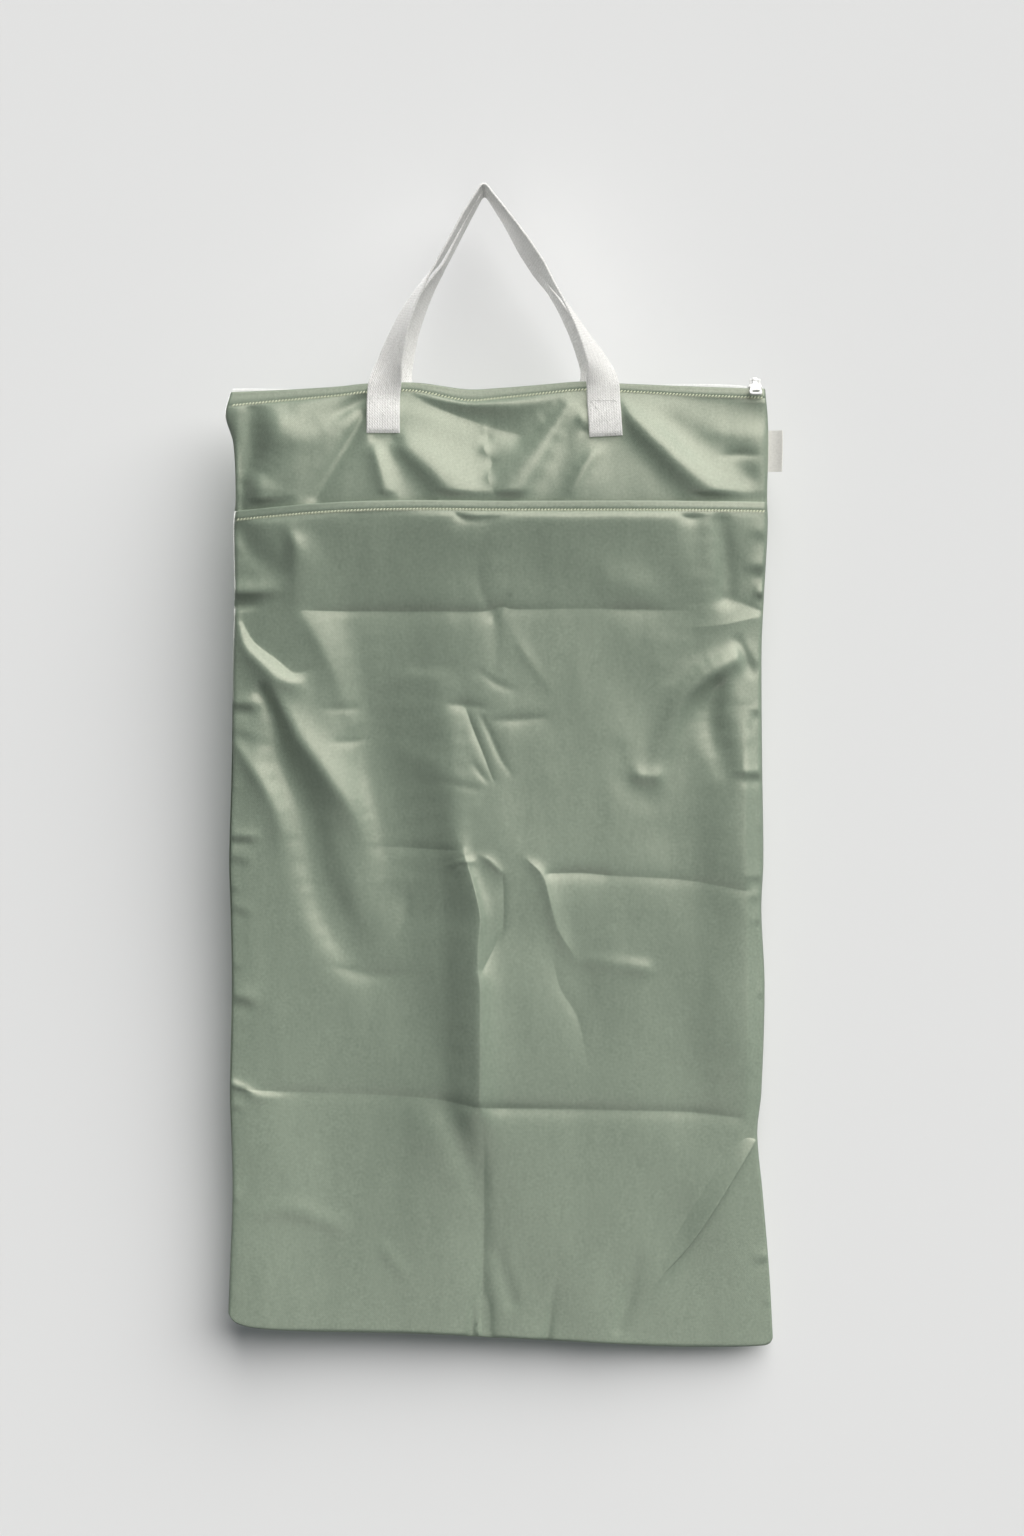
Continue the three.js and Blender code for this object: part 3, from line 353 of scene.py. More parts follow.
BACK_FOLDS = [
    Fold("upper packing crease", "crease", [
        (-180, 315, -1.5, 6, 8), (-20, 318, -2.4, 6, 10), (90, 316, -1.6, 6, 9), (205, 314, -2, 6, 8)]),
    Fold("middle packing crease", "crease", [
        (-180, 500, -1.2, 5, 8), (-30, 506, -1.8, 5, 9), (120, 512, -1.4, 5, 8), (200, 518, -1.2, 5, 8)]),
    Fold("lower packing crease", "crease", [
        (-182, 679, -1.6, 6, 8), (-10, 689, -2.6, 6, 10), (120, 693, -2, 6, 9), (200, 698, -1.2, 6, 8)]),
    Fold("centre crease, upper", "crease", [
        (-2, 250, -0.6, 8, 8), (1, 400, -1.4, 8, 8), (-3, 500, -1, 8, 8)]),
    Fold("centre ridge", "crease", [(-2, 512, 1.6, 14, 14), (-3, 600, 2.6, 22, 22), (-2, 684, 2, 20, 20)]),
    Fold("centre crease, lower", "crease", [
        (-2, 696, -0.8, 8, 8), (0, 780, -1.8, 8, 8), (-3, 862, -1.6, 5, 5)]),
    Fold("left patch, pull", "soft", [
        (-80, 190, -1.6, 5, 5), (-108, 220, -2.2, 8, 8), (-140, 262, -1, 12, 12)]),
    Fold("left patch, inner pull", "soft", [
        (-60, 188, 1.2, 5, 5), (-38, 222, 2.4, 9, 10), (-16, 262, 1.2, 12, 12)]),
    Fold("right patch, pull", "soft", [
        (96, 190, -1.6, 5, 5), (118, 220, -2.2, 8, 8), (150, 266, -1, 12, 12)]),
    Fold("right patch, inner pull", "soft", [
        (76, 190, 1.2, 5, 5), (58, 222, 2.2, 9, 9), (40, 262, 1, 12, 12)]),
    Fold("hem sag", "crease", [
        (-50, 153, -0.5, 6, 6), (-8, 170, -3, 9, 11), (22, 176, -3.4, 9, 12), (62, 158, -0.5, 6, 6)]),
    Fold("left hollow", "soft", [
        (-150, 360, -2, 22, 26), (-120, 460, -3, 28, 30), (-130, 640, -2, 30, 30)]),
    Fold("right hollow", "soft", [
        (120, 340, -2, 24, 24), (150, 440, -2.6, 26, 26), (130, 620, -2, 30, 28)]),
    Fold("diagonal, upper", "soft", [
        (170, 350, 1.6, 10, 10), (130, 420, 3, 14, 14), (90, 470, 1.4, 14, 14)]),
    Fold("diagonal, lower", "soft", [
        (-170, 720, 1.2, 10, 10), (-120, 780, 2.4, 14, 14), (-80, 830, 1, 12, 12)]),
]
# Edge of the overlap in the lower right corner: (x, down, share of its height). Its section is a ring of
# (distance past the edge, level over the pocket).
OVERLAP_PATH = [
    (206, 714, 0.3), (204, 718, 0.7), (191, 739, 1), (175, 765, 1), (156, 793, 0.9), (137, 814, 0.55),
    (123, 831, 0),
]
OVERLAP_SECTION = [
    (-20, -0.3), (-14, 0.06), (-9, 0.4), (-5, 0.72), (-2.4, 0.92), (-1.1, 1), (-0.4, 0.95), (-0.1, 0.8),
    (0, 0.62), (-0.3, 0.4), (-1, 0.1), (-2, -0.3), (-9, -0.4), (-20, -0.7),
]
OVERLAP_HIGH = 3.0
OVERLAP_STEPS = 90
# Puckers where the side seams gather the cloth: (down, long, rise, reach, drop towards the middle)
LEFT_PUCKERS = [
    (268, 10, 0.35, 5, 3), (386, 26, 1.36, 5, 1), (404, 26, 0.5, 6, 7), (448, 9, 0.3, 4, 3),
    (486, 26, 1.1, 4, 0), (500, 20, 0.5, 5, 4), (523, 10, 0.35, 4, 2), (538, 20, 0.45, 5, 5),
    (580, 8, 0.3, 4, 5), (605, 24, 1.02, 6, 5), (641, 8, 0.2, 4, 1), (690, 12, 0.45, 4, -3),
    (756, 7, 0.4, 4, 4), (828, 8, 0.25, 5, 3),
]
RIGHT_PUCKERS = [
    (259, 16, 0.5, 6, -4), (283, 18, 1.02, 6, 0), (304, 9, 1.02, 4, -1), (354, 10, 0.3, 4, 2),
    (391, 12, 0.5, 5, 0), (438, 26, 1.27, 5, 0), (478, 8, 0.25, 4, 2), (516, 18, 0.55, 5, 0),
    (530, 14, 0.45, 5, 2), (548, 10, 0.4, 4, 2), (605, 8, 0.4, 4, -2), (655, 8, 0.25, 4, 2),
    (803, 13, 0.6, 4, 2), (836, 7, 0.25, 5, 2),
]
# Stops of a pucker: (share of its length, share of its rise, left reach, right reach)
PUCKER_RIDGE = [(0, 0.6, 0.55, 1.2), (0.4, 1, 0.55, 1.2), (1, 0.1, 0.8, 1)]
PUCKER_HOLLOW = [(0, -0.3, 1, 0.7), (0.4, -0.5, 1, 0.7), (0.7, -0.1, 0.8, 0.6)]
PUCKER_HOLLOW_DROP = 1.25
# Slack of the cloth: (length of the waves, their height)
SLACK_SEED = 7
SLACK_TURN = 0.55
SLACK_STRETCH = 0.7
SLACK_SPREAD = (0.8, 1.25)
SLACK_LAYERS = 3
SLACK_WAVES = [
    (240, 1.2), (120, 0.75), (85, 0.45), (60, 0.3), (42, 0.19), (28, 0.11), (18, 0.06), (11, 0.03),
]

# Panel grids: (distance from the start of the side, steps up to the next stop)
ACROSS = [
    (0, 2), (1, 2), (3, 4), (8, 7), (20, 11), (42, 46), (150, 68), (256, 44), (358, 11), (380, 7), (392, 4),
    (397, 2), (399, 2), (400, 0),
]
ACROSS_BACK = [
    (0, 2), (1, 2), (3, 3), (8, 4), (20, 5), (42, 92), (358, 5), (380, 4), (392, 3), (397, 2), (399, 2),
    (400, 0),
]
HEM_ROWS = [(0, 2), (0.3, 2), (1.1, 2), (2.4, 3), (4.2, 5), (6, 12), (9.4, 4)]
FRONT_ROWS = HEM_ROWS + [(13, 46), (104, 20), (700, 6), (717, 4), (720, 0)]
BACK_ROWS = HEM_ROWS + [(13, 40), (130, 130), (700, 10), (717, 6), (720, 0)]
POCKET_ROWS = HEM_ROWS + [
    (13, 24), (64, 24), (96, 24), (150, 36), (215, 18), (256, 22), (290, 38), (356, 32), (440, 16),
    (470, 44), (580, 20), (618, 8), (629, 6), (632, 0),
]

# Hem stitches
STITCH_PITCH = 2.45
STITCH_LONG = 2.9
STITCH_THICK = 1.15
STITCH_SLANT = math.radians(44)
STITCH_END = 3.0
STITCH_LIFT = 0.45
BEAD_SIDES = 7
BEAD_RINGS = 5

# Zip
TAPE = 0.8
TAPE_HIGH = 10.0
TAPE_INSET = 2.0
TAPE_STEPS = 161
TAPE_ROWS = (0, 0.04, 0.12, 0.25, 0.5, 0.75, 1.0)
TAPE_EDGE = 0.12
COIL_HALF = 1.4
COIL_INSET = 4.0
TOOTH_PITCH = 1.35
TOOTH_THICK = 0.85
TOOTH_LONG = 2.1
TOOTH_DROP = 0.75
TOOTH_SLANT = 0.25
ZIP_RISE = [
    (-195, 2.6), (-178, 2.4), (-160, 1.4), (-140, 0.2), (-115, -0.5), (110, -0.5), (140, 1), (165, 2.2),
    (190, 2.2), (200, 1.3), (213, 1.2),
]

# Slider and pull, around the pull's pivot
SLIDER_X = 204.0
SLIDER_LONG = 10.5
SLIDER_HALF = 3.4
SLIDER_HIGH = 1.6
SLIDER_DROP = 0.9
SLIDER_BEVEL = 0.28
CROWN_TAPER = (0.86, 0.66, 1)
CROWN_INSET = 0.7
CROWN_HIGH = 0.25
BRIDGE_HALF = 3.4
BRIDGE_WIRE = 1.8
BRIDGE_SINK = 0.4
BRIDGE_BEVEL = 0.62
BRIDGE_AXIS = SLIDER_HIGH + 3.6
EYE_RADIUS = 1.62
EYE_WALL = 0.72
EYE_LONG = 3.4
EYE_BEVEL = 0.16
ROUND_STEPS = 28
PULL_THICK = 1.4
PULL_CORNER = 2.0
PULL_BEVEL = 0.3
PULL_LEAN = math.radians(46)
PULL_OUTLINE = [(1.55, 1.7), (4.6, 1.7), (6.5, 3.4), (14, 4.7), (17.5, 4.7)]
PULL_SLOT = (14.0, 2.9, 1.3)
SLOT_BAR = 6.0
CLOSE = 0.1
SQUARE_ON = 0.9
SMOOTH_ANGLE = math.radians(40)

# Webbing: turn is the twist of the strap in degrees, 0 flat to the panel and 90 edge on
WEB_WIDE = 25.0
WEB_THICK = 1.5
WEB_RIBS = 13
WEB_RIB_HIGH = 0.24
WEB_RIB_STEPS = 5
WEB_RIB_POWER = 0.7
WEB_EDGE = 0.8
WEB_EDGE_LEAST = 0.12
WEB_STEP = 2.2
Strap = namedtuple("Strap", "x down out turn sewn")
FRONT_HANDLE = [
    Strap(-75.5, 184, None, 0, True), Strap(-75.5, 170, None, 0, True), Strap(-75.5, 157, None, 0, True),
    Strap(-74.5, 147, 9.6, 6, False), Strap(-71, 131, 10.6, 38, False), Strap(-63, 106, 12.3, 58, False),
    Strap(-55, 88, 13, 68, False), Strap(-44, 69, 13.3, 80, False), Strap(-33.5, 54, 13.3, 90, False),
    Strap(-15, 21, 13.3, 92, False), Strap(-5, 4.6, 13.3, 90, False), Strap(-2.4, 0.6, 13.3, 90, False),
    Strap(0, -0.75, 13.3, 90, False), Strap(2.4, 0.5, 13.3, 90, False), Strap(5, 4, 13.3, 90, False),
    Strap(18, 22, 13.3, 95, False), Strap(30.5, 41, 13.3, 103, False), Strap(42, 58, 13.3, 103, False),
    Strap(52, 73, 13.3, 92, False), Strap(61, 86, 13.3, 83, False), Strap(70, 101, 13.2, 76, False),
    Strap(77, 114, 12.8, 67, False), Strap(85.5, 131, 10.8, 47, False), Strap(89.2, 147, 9.6, 8, False),
    Strap(89.8, 159, None, 0, True), Strap(90.6, 172, None, 0, True), Strap(91.4, 186.5, None, 0, True),
]
BACK_HANDLE_INSET = (7.0, 4.5)
BOX_STITCH_INSET = 2.6
BOX_STITCH_PITCH = 2.6
BOX_STITCH_LONG = 2.2
BOX_STITCH_THICK = 0.6
BOX_STITCH_LIFT = 0.8

# Label
LABEL_TOP = 181.0
LABEL_HIGH = 31.0
LABEL_WIDE = 10.5
LABEL_RIBBON = 0.4
LABEL_CURL = 1.5
LABEL_WAVE = 0.5
LABEL_WAVE_TURN = 2.4
LABEL_WAVE_START = 0.6
LABEL_HALF = 0.6
LABEL_CAUGHT = 2.5
LABEL_FLAT_STEPS = 14
LABEL_BEND_STEPS = 9
LABEL_ROWS = 25

# View, light and stage, in metres
CAMERA_PLACE = (0.021, -2.312, -0.435)
CAMERA_SENSOR = 36.0
CAMERA_HALF_ANGLE = math.radians(14.06)
WALL_BEHIND = 0.067
WALL_TURN = -0.03
WALL_LEAN = 0.05
FLOOR_LEVEL = -1.3
STAGE_HALF = 6.0
KEY_POWER = 4.85
KEY_SHARE = 0.3
STRAP_FILL_POWER = 1.1
LOW_FILL_POWER = 1.5
BACK_FILL_POWER = 70.0
CLOTH_PIECES = ("front_cloth", "back_cloth", "pocket_cloth", "corner_overlap")
KEY_SOFTNESS = math.radians(72)
KEY_TURN = math.radians(40)
KEY_HEIGHT = math.radians(45)
KEY_COLOUR = (1.0, 0.985, 0.95)
STRAP_FILL_HEIGHT = math.radians(5)
STRAP_FILL_TURN = math.radians(-55)
LOW_FILL_PLACE = (0.0, -0.9, -1.25)
LOW_FILL_AIM = (0.0, 0.0, -0.8)
LOW_FILL_SIZE = (1.0, 0.5)
BACK_FILL_PLACE = (-1.6, 2.6, 0.9)
BACK_FILL_AIM = (0.01, 0.0, -0.45)
BACK_FILL_SIZE = (2.0, 2.0)
WALL_COLOUR = (0.757, 0.762, 0.773)
FLOOR_COLOUR = (0.36, 0.362, 0.366)
WORLD_COLOUR = (0.9, 0.95, 1.0)
WORLD_POWER = 0.15


# Curves
def lerp(a, b, t):
    return a + (b - a) * t


def ease(t):
    t = np.clip(t, 0, 1)
    return t * (2 - t)


def clear_of(distance, fade):
    """0 up to the start of a fade and 1 past its run."""
    start, run = fade
    return ease((distance - start) / run)


def table_curve(rows):
    """Smooth curve through (at, value) rows, level beyond both ends."""
    at, value = np.array(rows, float).T
    last = len(at) - 1
    ahead = np.minimum(np.arange(last + 1) + 1, last)
    behind = np.maximum(np.arange(last + 1) - 1, 0)
    slope = (value[ahead] - value[behind]) / (at[ahead] - at[behind])

    def curve(t):
        t = np.clip(t, at[0], at[-1])
        i = np.clip(np.searchsorted(at, t) - 1, 0, last - 1)
        span = at[i + 1] - at[i]
        s = (t - at[i]) / span
        bend = s * (1 - s) * span * ((1 - s) * slope[i] - s * slope[i + 1])
        return lerp(value[i], value[i + 1], s * s * (3 - 2 * s)) + bend

    return curve


left_seam = table_curve(LEFT_SEAM)
right_seam = table_curve(RIGHT_SEAM)
top_edge = table_curve(TOP_EDGE)
bottom_edge = table_curve(BOTTOM_EDGE)
pocket_mouth = table_curve(POCKET_MOUTH)
pocket_tuck = table_curve(POCKET_TUCK)
front_hem_line = table_curve(FRONT_HEM_LINE)
pocket_hem_line = table_curve(POCKET_HEM_LINE)
zip_rise = table_curve(ZIP_RISE)
front_depth = table_curve(FRONT_DEPTH)
back_depth = table_curve(BACK_DEPTH)
pocket_room = table_curve(POCKET_ROOM)
left_swing = table_curve(LEFT_SWING)
right_swing = table_curve(RIGHT_SWING)


def ladder(stops):
    """Fractions along one side of a panel grid."""
    whole = stops[-1][0]
    marks = []
    for (start, steps), (end, _) in zip(stops, stops[1:]):
        marks += [lerp(start, end, k / steps) / whole for k in range(steps)]
    return np.array(marks + [1.0])


# Relief of the cloth
CREASE_ROUND = 0.12
FOLD_ROUND = 0.45
GATHER = 5.0
BLEND = 0.01
NEAREST_POWER = 5
GATHER_LONG = 50.0
PATH_CUTS = 3


def soft_profile(q):
    return np.exp(-q * q)


def crease_profile(q):
    return np.exp(CREASE_ROUND - np.hypot(q, CREASE_ROUND))


def fold_profile(q):
    return np.exp(FOLD_ROUND - np.hypot(q, FOLD_ROUND))


PROFILES = {"soft": soft_profile, "fold": fold_profile, "crease": crease_profile}


def off_stretch(a, b, x, down):
    """(share of the way from a to b, offset in x, offset down) of points from one stretch of a path."""
    run_x, run_down = b[0] - a[0], b[1] - a[1]
    t = np.clip(((x - a[0]) * run_x + (down - a[1]) * run_down) / (run_x**2 + run_down**2), 0, 1)
    return t, x - a[0] - t * run_x, down - a[1] - t * run_down


def rounded(path):
    """Path with each stretch cut into shorter ones on a smooth curve through its points."""
    at = np.arange(len(path))
    fine = np.linspace(0, len(path) - 1, (len(path) - 1) * PATH_CUTS + 1)
    columns = [table_curve(list(zip(at, column)))(fine) for column in np.array(path, float).T]
    return np.stack(columns, 1)


def gathered(folds, x, down, room):
    """Draws the grid in towards long creases, so that it has points along each line."""
    for fold in folds:
        long = math.dist(fold.path[0][:2], fold.path[-1][:2])
        if fold.profile != "crease" or long < GATHER_LONG:
            continue
        closest = np.full(x.shape, np.inf)
        pull_x, pull_down = np.zeros(x.shape), np.zeros(x.shape)
        path = rounded(fold.path)
        for a, b in zip(path, path[1:]):
            _, off_x, off_down = off_stretch(a, b, x, down)
            away = np.hypot(off_x, off_down)
            share = np.where(away < GATHER, room * (1 - away / GATHER), 0)
            pull_x = np.where(away < closest, off_x * share, pull_x)
            pull_down = np.where(away < closest, off_down * share, pull_down)
            closest = np.minimum(closest, away)
        x, down = x - pull_x, down - pull_down
    return x, down


def fold_height(fold, x, down):
    """Height of one fold over the cloth. At each point the closest stretches of its path count most."""
    profile = PROFILES[fold.profile]
    total = np.zeros(x.shape)
    height = np.zeros(x.shape)
    path = rounded(fold.path)
    for a, b in zip(path, path[1:]):
        t, off_x, off_down = off_stretch(a, b, x, down)
        side = ((b[0] - a[0]) * off_down - (b[1] - a[1]) * off_x) / math.dist(a[:2], b[:2])
        away = np.hypot(off_x, off_down)
        reach = lerp(lerp(a[4], b[4], t), lerp(a[3], b[3], t), 0.5 + 0.5 * side / np.maximum(away, 1e-6))
        q = away / reach
        weight = (q * q + BLEND) ** -NEAREST_POWER
        height += weight * lerp(a[2], b[2], t) * profile(q)
        total += weight
    return height / total


def fold_sum(folds, x, down):
    return sum(fold_height(fold, x, down) for fold in folds)


def pucker(profile, side, start, row, stops, lower):
    """Short fold that runs from outside a side seam into the cloth."""
    down, long, rise, reach, drop = row
    path = []
    for share, high, left, right in stops:
        inwards = long * share if share else -reach
        place = start + side * inwards, down + lower * reach + drop * share
        path.append((*place, high * rise, left * reach, right * reach))
    return Fold("pucker", profile, path if side > 0 else path[::-1])


def pucker_folds():
    """Ridge and hollow of each pucker along both side seams."""
    folds = []
    for side, seam, rows in ((1, left_seam, LEFT_PUCKERS), (-1, right_seam, RIGHT_PUCKERS)):
        for row in rows:
            start = float(seam(row[0]))
            folds.append(pucker("fold", side, start, row, PUCKER_RIDGE, 0))
            folds.append(pucker("soft", side, start, row, PUCKER_HOLLOW, PUCKER_HOLLOW_DROP))
    return folds


POCKET_RELIEF = POCKET_FOLDS + pucker_folds()


def slack(x, down, seed):
    """Unevenness of loose cloth: waves of seeded direction and phase, longer down than across."""
    draw = np.random.default_rng(seed)
    height = np.zeros(x.shape)
    for wave, high in SLACK_WAVES:
        for _ in range(SLACK_LAYERS):
            turn = draw.normal(0.0, SLACK_TURN)
            phase = draw.uniform(0, 2 * math.pi)
            along = x * math.cos(turn) + down * math.sin(turn) * SLACK_STRETCH
            height += high / 2 * np.sin(2 * math.pi * along / (wave * draw.uniform(*SLACK_SPREAD)) + phase)
    return height


# Form of the panels
LEAST_INNER = GAP / 4


def to_side(x, down):
    return np.minimum(x - left_seam(down), right_seam(down) - x)


def fullness(x, down):
    """Share of the full depth: a quick part close to the seams and a slow part towards the middle."""
    to_seam = to_side(x, down)
    to_bottom = bottom_edge(x) - down
    side = lerp(ease(to_seam / SIDE_EASE[0]), ease(to_seam / SIDE_EASE[1]), SPREAD[0])
    slow = np.clip(to_bottom / BOTTOM_EASE[1], 0, 1)
    return side * lerp(ease(to_bottom / BOTTOM_EASE[0]), slow, SPREAD[1])


def boxed_corner(x, down):
    """1 at the ends of the zip, where the seam stays open to the zip's depth, and 0 below them."""
    return 1 - ease((down - top_edge(x) - CORNER_BOX) / CORNER_EASE)


def seam_roll(x, down):
    """0 on the side and bottom seams, 1 where the cloth has rolled over into the panel."""
    roll = lerp(SEAM_ROLL, CORNER_ROLL, boxed_corner(x, down))
    return ease(to_side(x, down) / roll) * ease((bottom_edge(x) - down) / SEAM_ROLL)


def smooth_depth(x, down, facing=-1):
    seam = lerp(SEAM_HALF, ZIP_HALF, boxed_corner(x, down))
    middle = front_depth if facing < 0 else back_depth
    return lerp(seam, middle(down - top_edge(x)), fullness(x, down))


def rolled(depth, x, down):
    return lerp(SEAM_TUCK, depth, seam_roll(x, down))


def hem_shape(below, deep):
    """(outer face, wall) of a stitched hem, as changes to a plain panel, by distance below its edge."""
    nose = HEM / 2
    round_top = np.sqrt(np.clip(1 - (1 - np.clip(below / nose, 0, 1)) ** 2, 0, 1))
    puff = HEM_PUFF * np.exp(-(((below / deep - HEM_CROWN[0]) / HEM_CROWN[1]) ** 2))
    groove = STITCH_GROOVE * np.exp(-(((below - deep) / STITCH_GROOVE_HALF) ** 2))
    outer = puff - groove - nose * (1 - round_top)
    wall = np.where(below < deep, HEM * round_top + puff, CLOTH)
    return outer, wall


def strap_rows(facing):
    """Rows of a handle. The back handle is sewn a little closer to the middle than the front one."""
    if facing < 0:
        return FRONT_HANDLE
    inset_left, inset_right = BACK_HANDLE_INSET
    rows = []
    for row in FRONT_HANDLE:
        end = FRONT_HANDLE[0] if row.x < 0 else FRONT_HANDLE[-1]
        inset = inset_left if row.x < 0 else -inset_right
        turn = min(row.turn, 180 - row.turn)
        rows.append(row._replace(x=row.x + inset * row.x / end.x, turn=turn))
    return rows


def fold_room(x, down, facing):
    """Folds fade out at the hem, at the seams and under the sewn strap ends."""
    room = ease((down - top_edge(x) - front_hem_line(x)) / HEM_FADE) * ease(to_side(x, down) / SIDE_FADE)
    for row in strap_rows(facing):
        if row.sewn:
            beside = np.maximum(np.abs(x - row.x) - WEB_WIDE / 2 + PATCH_MARGIN, 0)
            above = np.maximum(np.abs(down - row.down) - PATCH_MARGIN, 0)
            room = room * ease(np.hypot(beside, above) / PATCH_EASE)
    return room


def floored(depth, floor, round_off):
    """Depth that levels off above a floor, over a rounded stretch."""
    above = depth - floor
    return floor + (above + np.hypot(above, round_off)) / 2


def pocket_faces(x, down):
    below = down - pocket_mouth(x)
    deep = pocket_hem_line(x)
    puff, wall = hem_shape(below, deep)
    closed = smooth_depth(x, down) + GAP + CLOTH
    clear = ease((below - deep) / POCKET_FADE)
    inside = ease(to_side(x, down) / POCKET_SIDE_FADE + POCKET_SIDE_SHARE)
    relief = RELIEF * fold_sum(POCKET_RELIEF, x, down) + slack(x, down, SLACK_SEED)
    full = fullness(x, down)
    depth = closed + pocket_room(below) * full + relief * clear * inside
    outer = rolled(floored(depth, SEAM_HALF + POCKET_FLOOR * full, FLOOR_ROUND * full) + puff, x, down)
    return outer, np.maximum(outer - wall, LEAST_INNER)


def front_faces(x, down):
    below = down - top_edge(x)
    puff, wall = hem_shape(below, front_hem_line(x))
    relief = FRONT_RELIEF * fold_sum(FRONT_FOLDS, x, down) + slack(x, down, SLACK_SEED + 1)
    full = fullness(x, down)
    depth = smooth_depth(x, down) + relief * fold_room(x, down, -1)
    outer = rolled(floored(depth, SEAM_HALF + FRONT_FLOOR * full, FLOOR_ROUND * full) + puff, x, down)
    behind = np.minimum(outer, pocket_faces(x, np.maximum(down, pocket_mouth(x) + HEM))[1] - GAP)
    outer = lerp(outer, behind, ease((down - pocket_mouth(x) + MOUTH_EASE) / MOUTH_EASE))
    outer = lerp(outer, np.minimum(outer, LINING_DEPTH), clear_of(down - pocket_mouth(x), LINING_FADE))
    return outer, np.maximum(outer - wall, LEAST_INNER)


def back_faces(x, down):
    below = down - top_edge(x)
    puff, wall = hem_shape(below, front_hem_line(x))
    relief = BACK_RELIEF * (fold_sum(BACK_FOLDS, x, down) + slack(x, down, SLACK_SEED + 2))
    puckers = fold_sum(pucker_folds(), x, down) * ease(below / BACK_PUCKER_FADE)
    depth = smooth_depth(x, down, 1) + relief * fold_room(x, down, 1) + puckers
    outer = rolled(np.maximum(depth, SEAM_HALF) + puff, x, down)
    return outer, np.maximum(outer - wall, LEAST_INNER)


def swing(x, down):
    """How far the bag hangs forward, more on the left than on the right."""
    across = (x - left_seam(down)) / (right_seam(down) - left_seam(down))
    return lerp(left_swing(down), right_swing(down), across)


def placed(x, down, depth, facing):
    """Points at a depth on one face of the bag, where it hangs."""
    return np.stack([x, facing * depth - swing(x, down), -down], -1)


# Mesh helpers
def new_piece(name, vertices, faces, material, slot, body="bag"):
    """Smooth mesh object from millimetre vertices, with its material and on its body. The slot argument is
    not used.
    """
    mesh = bpy.data.meshes.new(name)
    mesh.from_pydata((np.asarray(vertices) * MM).tolist(), [], faces)
    mesh.shade_smooth()
    mesh.set_sharp_from_angle(angle=SHARP_ANGLE)
    piece = bpy.data.objects.new(name, mesh)
    bpy.context.collection.objects.link(piece)
    return dressed(piece, material, body)


def dressed(piece, material, body="bag"):
    piece.data.materials.clear()
    piece.data.materials.append(material)
    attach(piece, body)
    return piece


def rim_of(index):
    """Vertices around a grid, in turn."""
    return np.concatenate([index[0, ::-1], index[1:, 0], index[-1, 1:], index[-2:0:-1, -1]])


def grid_quads(index):
    return np.stack([index[:-1, :-1], index[1:, :-1], index[1:, 1:], index[:-1, 1:]], -1).reshape(-1, 4)


def wall_faces(rows, wide, flip):
    """Faces of a closed wall. Its inner grid has every second row and column of the outer one."""
    fine = np.arange(rows * wide).reshape(rows, wide)
    coarse = fine[-1, -1] + 1 + np.arange((rows // 2 + 1) * (wide // 2 + 1)).reshape(rows // 2 + 1, -1)
    rim, back_rim = rim_of(fine), rim_of(coarse)
    edge = np.stack([
        rim[::2], back_rim, np.roll(back_rim, -1), np.roll(rim, -2)[::2], rim[1::2]], 1)
    groups = [grid_quads(fine), grid_quads(coarse)[:, ::-1], edge]
    return [face for group in groups for face in (group[:, ::-1] if flip else group).tolist()]


def ring_faces(rows, ring):
    """(vertex numbers, faces) of rows of closed rings."""
    index = np.arange(rows * ring).reshape(rows, ring)
    after = np.roll(index, -1, axis=1)
    return index, np.stack([index[:-1], after[:-1], after[1:], index[1:]], -1).reshape(-1, 4)


def merged(parts):
    """One array of vertices and one list of faces out of several of both."""
    vertices, faces, shift = [], [], 0
    for points, part_faces in parts:
        vertices.append(points)
        faces += [[i + shift for i in face] for face in part_faces]
        shift += len(points)
    return np.concatenate(vertices), faces


def lowest_around(depth):
    """Lowest depth around each point, so that the coarse inner grid stays behind the outer one."""
    low = depth.copy()
    rows, wide = depth.shape
    for row in range(3):
        for column in range(3):
            around = depth[row:rows - 2 + row, column:wide - 2 + column]
            low[1:-1, 1:-1] = np.minimum(low[1:-1, 1:-1], around)
    return low


def panel(name, grid, seams, upper, faces, folds, facing, material):
    """Cloth panel: a wall of two grids between the seams, from an upper edge down to the bottom."""
    left, right, bottom = seams
    u, v = np.meshgrid(*(ladder(stops) for stops in grid))
    guess = lerp(upper(0.0), bottom(0.0), v)
    rough_x = lerp(left(guess), right(guess), u)
    down = lerp(upper(rough_x), bottom(rough_x), v)
    x = lerp(left(down), right(down), u)
    room = clear_of(to_side(x, down), GATHER_SIDE) * clear_of(down - upper(x), GATHER_TOP)
    room = room * clear_of(bottom(x) - down, GATHER_BOTTOM)
    x, down = gathered(folds, x, down, room)
    outer, inner = faces(x, down)
    front = placed(x, down, outer, facing)
    back = placed(x, down, lowest_around(inner), facing)[::2, ::2]
    points = np.concatenate([front.reshape(-1, 3), back.reshape(-1, 3)])
    return new_piece(name, points, wall_faces(*x.shape, facing > 0), material, "sage_cloth")


def overlap_edge(material):
    """Edge of the layer that lies over the lower right corner, sunk into the pocket behind its edge."""
    path = rounded(OVERLAP_PATH)
    knots = np.concatenate([[0], np.cumsum(np.hypot(*np.diff(path[:, :2], axis=0).T))])
    at = np.linspace(0, knots[-1], OVERLAP_STEPS)
    x, down, high = (np.interp(at, knots, path[:, k]) for k in range(3))
    run_x, run_down = np.gradient(x, at), np.gradient(down, at)
    away, level = np.array(OVERLAP_SECTION).T
    side_x = x[:, None] + run_down[:, None] * away
    side_down = down[:, None] - run_x[:, None] * away
    share = high[:, None]
    depth = pocket_faces(side_x, side_down)[0] + (level * share - (1 - share)) * OVERLAP_HIGH
    points = placed(side_x, side_down, depth, -1)
    index, quads = ring_faces(len(at), len(away))
    faces = quads.tolist() + [index[0][::-1].tolist(), index[-1].tolist()]
    return new_piece("corner_overlap", points.reshape(-1, 3), faces, material, "sage_cloth")


